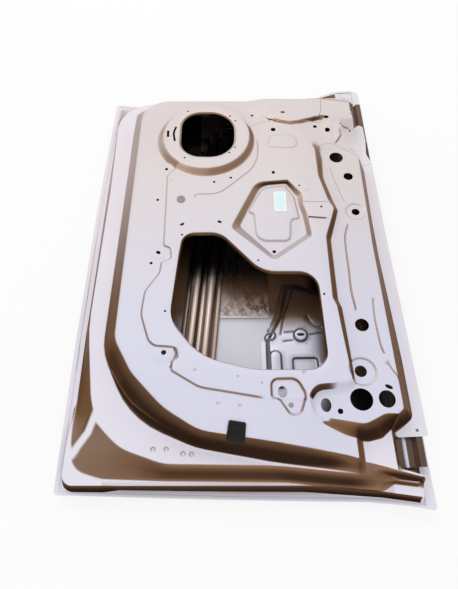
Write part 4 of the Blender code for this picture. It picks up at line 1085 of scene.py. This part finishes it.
def primer_coat():
    """Pale primer on the flats; the drawn walls get painted shade and painted reflection in tan and brown
    tones.
    """
    finish = bpy.context.scene.door_finish
    paint = Paint("primer_coat")
    up, drawn, rise = paint.up(), paint.field("drawn"), paint.field("rise")
    front = paint.facing("Y")
    rear = 0.0 - front
    cloud = paint.noise(3.0, 3.0, 0.5)
    fine = paint.noise(60.0, 3.0, 0.6)
    tilt = 1.0 - up.over(0.62, 0.985)
    far = paint.along("Y").over(0.30, -0.36)
    latch = rear.over(0.05, 0.45)
    belt = paint.facing("X").over(0.1, 0.5)

    # How much painted shade a drawn wall gets: less where it faces the hinge edge, more towards the latch
    # edge
    wall_shade = (drawn + (cloud - 0.5) * 0.2).over(0.12, 0.72)
    wall_shade = wall_shade * (1.0 - front.over(0.10, 0.50) * 0.72)
    shade_share = far * (0.48 - belt * 0.3) + 0.52 + belt * 0.3
    wall_shade = wall_shade * (shade_share + latch * (1.0 - shade_share))

    # The primer is cooler towards the latch edge and lighter on the low ledges
    pale = paint.mix(far, tuple(finish.pale), tuple(finish.pale_cool))
    pale = paint.mix(paint.along("Z").over(0.112, 0.060) * 0.7, pale, tuple(finish.ledge))

    # Painted shade and reflection show most on steep walls, and deepest low down on those that face the latch
    # edge
    colour = paint.mix(wall_shade, pale, tuple(finish.painted_sheen))
    colour = paint.mix(wall_shade * (tilt * 0.6 + far * 0.6 + latch * 0.2 + belt * 0.25), colour,
                       tuple(finish.wall))
    low = 1.0 - rise.over(0.45, 0.95) * 0.65
    colour = paint.mix(wall_shade * tilt * rear.over(0.08, 0.50) * low, colour, tuple(finish.deep))
    # Full painted shade in the shade patches
    colour = paint.mix(drawn.over(1.2, 2.0), colour, tuple(finish.wall))
    # Painted shade on the skin inside the door, with painted light under the access opening
    colour = paint.mix(paint.hollow(), colour, paint.dim(finish, linear(238, 238, 250)))
    paint.set(Base_Color=colour, Roughness=0.36 + (fine - 0.5) * 0.10 - wall_shade * 0.06, Metallic=wall_shade * 0.85)
    paint.set(Coat_Weight=0.2 - wall_shade * 0.2, Coat_Roughness=0.15, Specular_IOR_Level=0.3,
              Specular_Tint=EDGE_TINT)
    paint.set(Normal=paint.bump(paint.noise(900.0, 2.0), 0.05, 0.0004))
    return paint.material


def dip_coat():
    """Brown dip coat of the inner reinforcements, with painted shade that darkens it towards the front of the
    cavity and on faces that do not face up, and painted highlights in tan streaks.
    """
    finish = bpy.context.scene.door_finish
    paint = Paint("dip_coat")
    up = paint.up()
    cloud = paint.noise(5.0, 3.0)
    lit = paint.along("Y").over(0.02, -0.30)
    sheen_streak = paint.noise(30.0, 2.0, 0.5, (1.0, 0.06, 1.0))
    # Painted light and shade: lighter on faces that face up and towards the opening, browner elsewhere
    colour = paint.mix(up.over(0.5, 1.0) * (0.35 + lit * 0.65), tuple(finish.deep), tuple(finish.inner))
    # Painted highlights as streaks
    colour = paint.mix(sheen_streak.over(0.5, 0.8) * lit * 0.5, colour, tuple(finish.painted_sheen))
    colour = paint.mix((1.0 - lit) * 0.75, colour, tuple(finish.cavity_shade))
    # Painted shade on the belt reinforcement in the rear notch, with a pale painted highlight between its
    # posts
    belt = paint.along("X").over(0.27, 0.29)
    notch = belt * paint.along("Y").over(-0.435, -0.452)
    colour = paint.mix(notch, colour, tuple(finish.wall))
    colour = paint.mix(notch * 0.55, colour, tuple(finish.deep))
    gap = paint.band(paint.along("X"), *NOTCH_HIGHLIGHT, 0.0010)
    colour = paint.mix(notch * gap, colour, tuple(finish.pale_cool))
    colour = paint.mix(belt * paint.along("Y").over(0.33, 0.36) * 0.7, colour, tuple(finish.wall))
    paint.set(Base_Color=colour, Roughness=0.28 + (cloud - 0.5) * 0.15, Metallic=0.3, Coat_Weight=0.2,
              Coat_Roughness=0.15)
    return paint.material


def beam_coat():
    """The beam's colour: brown ribs with painted shade, painted highlights as bright streaks in the valleys
    between them, and painted shade towards the front of the cavity.
    """
    finish = bpy.context.scene.door_finish
    paint = Paint("beam_coat")
    across = paint.along("X") - paint.along("Y") * BEAM_SLANT - BEAM_MIDDLE
    lit = paint.along("Y").over(-0.03, -0.17)
    near = 1.0 - paint.along("Y").over(-0.20, -0.28) * 0.45
    phase = across * BEAM_WAVE + 1.1
    wave = phase.maths("SINE", phase)
    breaks = paint.noise(26.0, 2.0, 0.5, (1.0, 0.05, 1.0)).over(0.30, 0.60)
    colour = paint.mix(wave.over(-0.8, 0.3), tuple(finish.wall), tuple(finish.painted_sheen))
    colour = paint.mix(wave.over(-0.2, -0.9), colour, tuple(finish.deep))
    colour = paint.mix(wave.over(0.62, 0.98) * breaks * near, colour, tuple(finish.pale))
    colour = paint.mix(lit, tuple(finish.cavity_shade), colour)
    paint.set(Base_Color=colour, Roughness=0.26, Metallic=0.3, Coat_Weight=0.2, Coat_Roughness=0.12,
              Specular_Tint=EDGE_TINT)
    return paint.material


def pad_coat():
    """The glossy brown pad on the skin, with painted shade towards the front of the cavity, a painted
    reflection in white streaks beside its rear edge and painted light beyond it.
    """
    finish = bpy.context.scene.door_finish
    paint = Paint("pad_coat")
    along = paint.along("Y")
    # A painted reflection in white streaks
    streak_reflection = paint.noise(60.0, 6.0, 0.75, (1.0, 0.55, 1.0)).over(0.42, 0.60)
    colour = paint.mix(along.over(-0.03, -0.125), tuple(finish.cavity_shade), tuple(finish.wall))
    colour = paint.mix(along.over(-0.100, -0.155) * streak_reflection, colour, tuple(finish.pale))
    colour = paint.mix(along.over(-0.160, -0.165), colour, tuple(finish.pale))
    paint.set(Base_Color=colour, Roughness=0.22 + streak_reflection * 0.2, Coat_Weight=0.3, Coat_Roughness=0.1)
    return paint.material


def plate_coat():
    """The handle plate's colour: painted light in pale where light falls through the opening, fading into
    painted shade in brown and near-black.
    """
    finish = bpy.context.scene.door_finish
    paint = Paint("plate_coat")
    up, drawn, along, across = paint.up(), paint.field("drawn"), paint.along("Y"), paint.along("X")
    cloud = paint.noise(12.0, 3.0)
    opening_light = along.over(-0.170, -0.230) * (1.0 - across.over(0.16, 0.19))
    opening_light = opening_light * (1.0 - (drawn + 1.0 - up.over(0.7, 0.95)).over(0.2, 0.8) * 0.8)
    # Painted shade: near-black towards the front, brown further back and deepest on the drawn walls
    brown = paint.mix(along.over(-0.04, -0.20), tuple(finish.cavity_shade), tuple(finish.wall))
    brown = paint.mix(drawn * 0.8, brown, tuple(finish.deep))
    colour = paint.mix(opening_light + (cloud - 0.5) * 0.3, brown, tuple(finish.pale_cool))
    paint.set(Base_Color=colour, Roughness=0.3 + (cloud - 0.5) * 0.1, Metallic=0.2, Coat_Weight=0.2)
    return paint.material


def label_coat():
    """A blank label: a pale blue field inside a white border."""
    paint = Paint("label_coat")
    across, along = paint.along("X"), paint.along("Y")
    soft = 0.0008
    field = paint.band(across, 0.0845, 0.1065, soft) * paint.band(along, 0.0545, 0.104, soft)
    colour = paint.mix(field, (0.88, 0.88, 0.88), (0.66, 0.86, 0.88))
    paint.set(Base_Color=colour, Roughness=0.45)
    paint.set(Normal=paint.bump(paint.noise(300.0, 2.0), 0.2, 0.0001))
    return paint.material


def plain_coat(name, colour, roughness, metallic=0.0, grain=300.0, depth=0.0002, shine=0.5):
    """A finish of one colour with a fine grain and a slight change of tone."""
    paint = Paint(name)
    tone = paint.noise(14.0, 3.0)
    darker, lighter = tuple(0.86 * c for c in colour), tuple(min(1.0, 1.1 * c) for c in colour)
    shade = paint.mix(tone.over(0.3, 0.7), darker, lighter)
    paint.set(Base_Color=shade, Roughness=roughness + (tone - 0.5) * 0.12, Metallic=metallic)
    paint.set(Specular_IOR_Level=shine)
    paint.set(Normal=paint.bump(paint.noise(grain, 2.0), 0.25, depth))
    return paint.material


MATERIALS = {}


def coat(name):
    """Each finish, made once."""
    if name not in MATERIALS:
        MATERIALS[name] = {
            "primer": primer_coat,
            "electrocoat": dip_coat,
            "black_plastic": lambda: plain_coat("black_plastic_coat", (0.010, 0.008, 0.008), 0.5, shine=0.12),
            "grey_rubber": lambda: plain_coat("grey_rubber_coat", (0.28, 0.27, 0.29), 0.6),
            "pad_bitumen": pad_coat,
            "label_paper": label_coat,
            "beam": beam_coat,
            "plate": plate_coat,
            "zinc": lambda: plain_coat("zinc_coat", (0.42, 0.38, 0.34), 0.38, 0.8),
        }[name]()
    return MATERIALS[name]


# Settings that a user would change

class DoorFinish(bpy.types.PropertyGroup):
    pale: bpy.props.FloatVectorProperty(
        name="Primer", description="Colour of the primer on flat faces",
        default=linear(215, 205, 204), subtype="COLOR")
    ledge: bpy.props.FloatVectorProperty(
        name="Low primer", description="Tone of the primer on the low ledges",
        default=linear(236, 231, 240), subtype="COLOR")
    pale_cool: bpy.props.FloatVectorProperty(
        name="Cool primer", description="Cooler tone that the primer takes in places",
        default=linear(213, 213, 230), subtype="COLOR")
    # Tan tone of the painted sheen on drawn walls and streaks
    painted_sheen: bpy.props.FloatVectorProperty(
        name="Thin primer", description="Colour where the primer thins out",
        default=linear(164, 141, 125), subtype="COLOR")
    # Brown painted shade and reflection on drawn walls and inside the door
    wall: bpy.props.FloatVectorProperty(
        name="Wall", description="Colour of the dip coat on drawn walls",
        default=linear(112, 82, 59), subtype="COLOR")
    # Near-black painted shade inside the door
    cavity_shade: bpy.props.FloatVectorProperty(
        name="Dark", description="Colour inside the door, away from the openings",
        default=linear(14, 11, 10), subtype="COLOR")
    # Deepest painted shade, on walls that face the latch edge and in hollows
    deep: bpy.props.FloatVectorProperty(
        name="Deep wall", description="Colour of walls that face the latch edge",
        default=linear(46, 30, 21), subtype="COLOR")
    inner: bpy.props.FloatVectorProperty(
        name="Inner parts", description="Colour of reinforcements inside",
        default=linear(150, 126, 104), subtype="COLOR")


class DoorSizes(bpy.types.PropertyGroup):
    skin_gauge: bpy.props.FloatProperty(name="Skin", description="Thickness of the outer skin",
                                        default=SKIN_GAUGE * MM, min=0.0003, unit="LENGTH")
    panel_gauge: bpy.props.FloatProperty(name="Inner panel", description="Thickness of the inner panel",
                                         default=PANEL_GAUGE * MM, min=0.0003, unit="LENGTH")
    plate_gauge: bpy.props.FloatProperty(name="Plates", description="Thickness of the reinforcing plates",
                                         default=REINFORCEMENT_GAUGE * MM, min=0.0003, unit="LENGTH")
    clip_gauge: bpy.props.FloatProperty(name="Clip", description="Thickness of the rear clip's wall",
                                        default=CLIP_GAUGE * MM, min=0.0003, unit="LENGTH")
    nut_radius: bpy.props.FloatProperty(name="Weld nut", description="Radius over the corners of a weld nut",
                                        default=NUT_RADIUS * MM, min=0.002, unit="LENGTH")
    nut_bore: bpy.props.FloatProperty(name="Nut bore", description="Radius of the bore of a weld nut",
                                      default=NUT_BORE * MM, min=0.001, unit="LENGTH")
    nut_height: bpy.props.FloatProperty(name="Nut height", description="Height of a weld nut",
                                        default=NUT_HEIGHT * MM, min=0.001, unit="LENGTH")


class DoorStage(bpy.types.PropertyGroup):
    lens: bpy.props.FloatProperty(name="Lens", description="Focal length of the camera", default=29.95,
                                  min=10.0, unit="CAMERA")
    tilt: bpy.props.FloatProperty(name="Tilt", description="Turn of the camera away from straight down",
                                  default=math.radians(28.9), subtype="ANGLE")
    place: bpy.props.FloatVectorProperty(name="Place", description="Where the camera stands",
                                         default=(-0.0245, -0.66935, 1.025), subtype="TRANSLATION",
                                         unit="LENGTH")
    sky: bpy.props.FloatProperty(name="Sky", description="Strength of the even light from all round",
                                 default=0.75, min=0.0)
    fill: bpy.props.FloatProperty(name="Fill light", description="Power of the lamp behind the latch edge",
                                  default=5.0, min=0.0, subtype="POWER")
    key: bpy.props.FloatProperty(name="Key light", description="Power of the large lamp overhead",
                                 default=24.5, min=0.0, subtype="POWER")


# The pieces

class OuterSkin(bpy.types.Operator):
    """Build the outer skin with its hem folded back over the inner panel"""
    bl_idname = "door.outer_skin"
    bl_label = "Outer skin"

    def execute(self, context):
        mid = SKIN_GAUGE / 2.0
        fold = (SKIN_GAUGE + PANEL_GAUGE + 2.0 * SEAT_GAP) / 2.0
        inner = inset(SKIN_CORNERS, mid + fold + HEM_PLAY)
        base = ring_points(inner, inner)
        flat, faces = triangulate(base, [], [], SKIN_GRID_STEP)
        points = [(*p, h) for p, h in zip(flat, skin_underside(flat) + mid)]
        corner = flat[faces]
        turn = np.cross(corner[:, 1] - corner[:, 0], corner[:, 2] - corner[:, 0])
        faces = [tuple(f) if t > 0 else tuple(f[::-1]) for f, t in zip(faces, turn)]
        rings = []
        for step in range(HEM_STEPS + 1):
            angle = math.pi * step / HEM_STEPS
            ring = ring_points(inset(SKIN_CORNERS, mid + fold + HEM_PLAY - fold * math.sin(angle)), inner)
            lift = mid + fold * (1.0 - math.cos(angle))
            rings.append(np.column_stack((ring, skin_underside(ring) + lift)))
        for share in (0.5, 1.0):
            widths = [(mid + fold) * (1.0 - share) + (w - mid) * share for w in HEM_WIDTHS]
            ring = ring_points(inset(SKIN_CORNERS, widths), inner)
            rings.append(np.column_stack((ring, skin_underside(ring) + mid + 2.0 * fold)))
        count = len(base)
        for ring in rings:
            first = len(points)
            points += [tuple(p) for p in ring]
            if first > len(flat):
                pairs = [(k, (k + 1) % count) for k in range(count)]
                faces += [(first - count + k, first + k, first + j, first - count + j) for k, j in pairs]
        places = np.array(points)[:, :2]
        # Where the panel covers the skin, the skin gets painted shade inside the door
        hollow = smooth(places[:, 0], 322.0, 306.0) * smooth(places[:, 0], -338.0, -324.0)
        hollow *= smooth(places[:, 1], 498.0, 482.0) * smooth(places[:, 1], -540.0, -524.0)
        piece = add_piece("skin_sheet", points, faces, coat("primer"),
                          context.scene.door_sizes.skin_gauge, 0.0, {"hollow": hollow})
        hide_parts("outer_skin")
        return {"FINISHED"}


class InnerPanel(bpy.types.Operator):
    """Press the inner panel with its terraces, openings and holes"""
    bl_idname = "door.inner_panel"
    bl_label = "Inner panel"

    def execute(self, context):
        holes = [rounded(ACCESS_OPENING, 8.0), rounded(SPEAKER_OPENING, 8.0)]
        holes += oval_holes(BIG_HOLES, 40) + oval_holes(SMALL_HOLES, 20) + front_wall_holes()
        holes += [rounded([(*p, 1.0) for p in ribbon(curve(line, 6.0), half)], 6.0) for line, half in SLOTS]
        piece = sheet("inner_panel_sheet", rounded(panel_corners(), 11.0), holes, PANEL_FORMS + FACE_FORMS,
                      panel_height, context.scene.door_sizes.panel_gauge, coat("primer"))
        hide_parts("inner_panel")
        return {"FINISHED"}


class MirrorCorner(bpy.types.Operator):
    """Press the plate let into the front belt corner"""
    bl_idname = "door.mirror_corner"
    bl_label = "Mirror corner"

    def execute(self, context):
        gaps = [SEAM_GAP] * 11 + [HIDDEN_SEAM_GAP] * 4 + [SEAM_GAP] * 5
        outline = rounded(inset(MIRROR_FREE_EDGE + MIRROR_SEAM[::-1], gaps), 8.0)
        piece = sheet("mirror_plate_sheet", outline, oval_holes(MIRROR_HOLES, 24), FACE_FORMS, panel_height,
                      context.scene.door_sizes.plate_gauge, coat("primer"))
        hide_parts("mirror_plate")
        return {"FINISHED"}


class HandlePlate(bpy.types.Operator):
    """Press the plate on the skin behind the outer handle"""
    bl_idname = "door.handle_plate"
    bl_label = "Handle plate"

    def execute(self, context):
        piece = sheet("handle_plate_sheet", rounded(HANDLE_PLATE, 8.0), oval_holes(HANDLE_HOLES, 20),
                      HANDLE_FORMS, handle_plate_height, context.scene.door_sizes.plate_gauge,
                      coat("plate"), 10.0)
        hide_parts("handle_reinforcement")
        return {"FINISHED"}


class WallPlates(bpy.types.Operator):
    """Press the plates that back the front wall at the hinges and the check link"""
    bl_idname = "door.wall_plates"
    bl_label = "Front wall plates"

    def execute(self, context):
        toe = FRONT_FACE_Y + FRONT_WALL_RUN
        for node, x, width, reach in WALL_PLATES:
            low, high = x - width / 2.0, x + width / 2.0
            outline = rounded([(low, FRONT_FACE_Y - reach, 8), (high, FRONT_FACE_Y - reach, 8),
                               (high, toe, 4), (low, toe, 4)], 6.0)
            if node == "check_link_plate":
                holes = [wall_hole(x, CHECK_SLOT[1] + HOLE_PLAY, CHECK_SLOT[2])]
            else:
                holes = hinge_holes(x, HINGE_BOLT_RADIUS + HOLE_PLAY)
            piece = sheet(node + "_sheet", outline, holes, [WALL_ONE, FRONT_BAND],
                          lambda p, tones: below_panel(p, PANEL_GAUGE + NEST_GAP),
                          context.scene.door_sizes.plate_gauge, coat("electrocoat"), 10.0)
            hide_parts(node)
        return {"FINISHED"}


class SashTop(bpy.types.Operator):
    """Press the plate on top of the panel beside the mirror corner"""
    bl_idname = "door.sash_top"
    bl_label = "Sash top plate"

    def execute(self, context):
        piece = sheet("sash_top_sheet", rounded(SASH_TOP, 6.0), oval_holes([SASH_TOP_HOLE], 20), [WALL_ONE],
                      lambda p, tones: panel_height(p, tones) + SEAT_GAP + REINFORCEMENT_GAUGE,
                      context.scene.door_sizes.plate_gauge, coat("primer"), 8.0)
        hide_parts("sash_top_plate")
        return {"FINISHED"}


class RearClip(bpy.types.Operator):
    """Shape the black clip that grips the rear edge of the main face"""
    bl_idname = "door.rear_clip"
    bl_label = "Rear clip"

    def execute(self, context):
        forms = [rim(inset(CLIP_PLAN, 4.5), 2.5, raised(-0.8), 0.8),
                 bead([(-27, -459), (1, -463)], 1.4, 0.5)]
        piece = sheet("rear_clip_shell", rounded(CLIP_PLAN, 4.0), [], forms + [WALL_ONE],
                      lambda p, tones: pressed(p, lambda q: panel_height(q) + CLIP_LIFT, forms),
                      context.scene.door_sizes.clip_gauge, coat("black_plastic"), 5.0)
        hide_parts("rear_clip")
        return {"FINISHED"}


class WeldNuts(bpy.types.Operator):
    """Set a weld nut under each of three trim holes, with Geometry Nodes"""
    bl_idname = "door.weld_nuts"
    bl_label = "Weld nuts"

    def execute(self, context):
        mesh = bpy.data.meshes.new("weld_nuts")
        places = np.array(NUT_PLACES, float)
        tops = panel_height(places) - PANEL_GAUGE - SEAT_GAP
        points = np.column_stack((places - PLAN_MIDDLE, tops)) * MM
        mesh.from_pydata(points.tolist(), [], [])
        item = bpy.data.objects.new("weld_nuts", mesh)
        context.scene.collection.objects.link(item)
        modifier = item.modifiers.new("nuts", "NODES")
        modifier.node_group = self.tree()
        sizes = context.scene.door_sizes
        given = {"Radius": sizes.nut_radius, "Bore": sizes.nut_bore, "Height": sizes.nut_height,
                 "Finish": coat("zinc")}
        for socket in modifier.node_group.interface.items_tree:
            if socket.name in given:
                modifier[socket.identifier] = given[socket.name]
        item = plain_mesh(item)
        item.data.shade_smooth()
        item.data.set_sharp_from_angle(angle=math.radians(30.0))
        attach(item, "root")
        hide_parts("weld_nut_1", "weld_nut_2", "weld_nut_3")
        return {"FINISHED"}

    @staticmethod
    def tree():
        """A hexagonal ring with a round bore, hung under each point."""
        tree = bpy.data.node_groups.new("weld_nuts", "GeometryNodeTree")
        face = tree.interface
        face.new_socket("Geometry", in_out="INPUT", socket_type="NodeSocketGeometry")
        for name in ("Radius", "Bore", "Height"):
            face.new_socket(name, in_out="INPUT", socket_type="NodeSocketFloat").subtype = "DISTANCE"
        face.new_socket("Finish", in_out="INPUT", socket_type="NodeSocketMaterial")
        face.new_socket("Geometry", in_out="OUTPUT", socket_type="NodeSocketGeometry")

        def node(kind, settings=None, sockets=None):
            return add_node(tree, kind, settings, sockets).outputs

        given = node("NodeGroupInput")
        drop = node("ShaderNodeMath", {"operation": "MULTIPLY"}, {0: given["Height"], 1: -0.5})
        lower = node("ShaderNodeCombineXYZ", None, {"Z": drop[0]})
        body = node("GeometryNodeMeshCylinder", {"fill_type": "NGON"},
                    {"Vertices": 6, "Radius": given["Radius"], "Depth": given["Height"]})
        deep = node("ShaderNodeMath", {"operation": "MULTIPLY"}, {0: given["Height"], 1: 1.4})
        bore = node("GeometryNodeMeshCylinder", {"fill_type": "NGON"},
                    {"Vertices": 24, "Radius": given["Bore"], "Depth": deep[0]})
        cut = node("GeometryNodeMeshBoolean", {"operation": "DIFFERENCE", "solver": "EXACT"},
                   {"Mesh 1": body["Mesh"], "Mesh 2": bore["Mesh"]})
        moved = node("GeometryNodeTransform", None, {"Geometry": cut["Mesh"], "Translation": lower[0]})
        placed = node("GeometryNodeInstanceOnPoints", None,
                      {"Points": given["Geometry"], "Instance": moved["Geometry"]})
        real = node("GeometryNodeRealizeInstances", None, {"Geometry": placed["Instances"]})
        done = node("GeometryNodeSetMaterial", None,
                    {"Geometry": real["Geometry"], "Material": given["Finish"]})
        node("NodeGroupOutput", None, {"Geometry": done["Geometry"]})
        return tree


class CarriedNodes(bpy.types.Operator):
    """Paint the nodes of the frame that are shown as they are"""
    bl_idname = "door.carried_nodes"
    bl_label = "Carried nodes"

    def execute(self, context):
        slots = {row["node"]: row["material_slot"] for row in frame["record"]["subparts"]}
        for name, node in frame["nodes"].items():
            node.data.materials.clear()
            node.data.materials.append(coat("beam" if name == "intrusion_beam" else slots[name]))
        return {"FINISHED"}


# The stage, in metres: the floor, the camera's sensor in millimetres, and each lamp's place and width
FLOOR_HALF = 6.0
FLOOR_LEVEL = -0.0005
FLOOR_GLOW = 0.8
SENSOR_WIDTH = 36.0
KEY_LAMP = ((-0.5, 1.4, 2.4), 2.4)
FILL_LAMP = ((0.2, -1.9, 1.1), 1.6)
LAMP_SHAPE = 0.67


class Stage(bpy.types.Operator):
    """Set the floor, the lamps, the sky and the camera"""
    bl_idname = "door.stage"
    bl_label = "Stage"

    def execute(self, context):
        scene = context.scene
        stage = scene.door_stage
        floor_mesh = bpy.data.meshes.new("floor")
        corners = [(x * FLOOR_HALF, y * FLOOR_HALF, FLOOR_LEVEL)
                   for x, y in ((-1, -1), (1, -1), (1, 1), (-1, 1))]
        floor_mesh.from_pydata(corners, [], [(0, 1, 2, 3)])
        floor = bpy.data.objects.new("floor", floor_mesh)
        scene.collection.objects.link(floor)
        floor_mesh.materials.append(self.floor_material())
        camera = bpy.data.objects.new("camera", bpy.data.cameras.new("camera"))
        camera.data.lens = stage.lens
        camera.data.sensor_width = SENSOR_WIDTH
        camera.location = stage.place
        camera.rotation_euler = (stage.tilt, 0.0, 0.0)
        scene.collection.objects.link(camera)
        scene.camera = camera
        self.lamp(scene, "key", *KEY_LAMP, stage.key)
        self.lamp(scene, "fill", *FILL_LAMP, stage.fill)
        self.sky(scene, stage.sky)
        scene.view_settings.view_transform = "Standard"
        return {"FINISHED"}

    @staticmethod
    def seen(tree):
        """1 for the rays that should meet plain white: seen directly, mirrored or through glass."""
        path = add_node(tree, "ShaderNodeLightPath").outputs
        total = path["Is Camera Ray"]
        for name in ("Is Glossy Ray", "Is Transmission Ray"):
            both = add_node(tree, "ShaderNodeMath", {"operation": "MAXIMUM"}, {0: total, 1: path[name]})
            total = both.outputs[0]
        return total

    def lamp(self, scene, name, place, width, power):
        """A wide soft lamp turned towards the middle of the door."""
        light = bpy.data.lights.new(name, "AREA")
        light.shape, light.size, light.size_y = "RECTANGLE", width, width * LAMP_SHAPE
        light.energy = power
        item = bpy.data.objects.new(name, light)
        item.location = place
        item.rotation_euler = (-item.location).to_track_quat("-Z", "Y").to_euler()
        scene.collection.objects.link(item)

    def floor_material(self):
        """A pale floor that keeps the door's shadow and is nearly white where it is seen."""
        material = bpy.data.materials.new("floor_coat")
        material.use_nodes = True
        tree = material.node_tree
        tree.nodes.clear()
        matt = add_node(tree, "ShaderNodeBsdfDiffuse", None, {"Color": (0.9, 0.9, 0.9)})
        glow = add_node(tree, "ShaderNodeEmission")
        share = add_node(tree, "ShaderNodeMath", {"operation": "MULTIPLY"},
                         {0: self.seen(tree), 1: FLOOR_GLOW})
        both = add_node(tree, "ShaderNodeMixShader", None,
                        {0: share.outputs[0], 1: matt.outputs[0], 2: glow.outputs[0]})
        add_node(tree, "ShaderNodeOutputMaterial", None, {0: both.outputs[0]})
        return material

    def sky(self, scene, strength):
        """Even light from all round, which is plain white where it is seen."""
        world = bpy.data.worlds.new("sky")
        scene.world = world
        world.use_nodes = True
        tree = world.node_tree
        level = add_node(tree, "ShaderNodeMapRange", None,
                         {"Value": self.seen(tree), "To Min": strength, "To Max": 1.0})
        back = tree.nodes["Background"].inputs
        feed(tree, back["Color"], (1.0, 1.0, 1.0))
        feed(tree, back["Strength"], level.outputs[0])


class DoorPanel(bpy.types.Panel):
    """Lists the settings and the builders of the door shell"""
    bl_idname = "VIEW3D_PT_door_shell"
    bl_label = "Door shell"
    bl_space_type = "VIEW_3D"
    bl_region_type = "UI"
    bl_category = "Door"

    def draw(self, context):
        for group in (getattr(context.scene, name) for name in GROUPS):
            box = self.layout.box()
            for name in group.bl_rna.properties.keys():
                if name not in ("rna_type", "name"):
                    box.prop(group, name)
        for builder in BUILDERS:
            self.layout.operator(builder.bl_idname)


BUILDERS = (CarriedNodes, OuterSkin, InnerPanel, MirrorCorner, SashTop, WallPlates, HandlePlate, RearClip,
            WeldNuts, Stage)
GROUPS = {"door_sizes": DoorSizes, "door_finish": DoorFinish, "door_stage": DoorStage}


def register():
    for kind in (*GROUPS.values(), *BUILDERS, DoorPanel):
        bpy.utils.register_class(kind)
    for name, kind in GROUPS.items():
        setattr(bpy.types.Scene, name, bpy.props.PointerProperty(type=kind))


def unregister():
    for name in GROUPS:
        delattr(bpy.types.Scene, name)
    for kind in reversed((*GROUPS.values(), *BUILDERS, DoorPanel)):
        bpy.utils.unregister_class(kind)


def main():
    register()
    for builder in BUILDERS:
        group, name = builder.bl_idname.split(".")
        getattr(getattr(bpy.ops, group), name)()


if __name__ == "__main__":
    main()
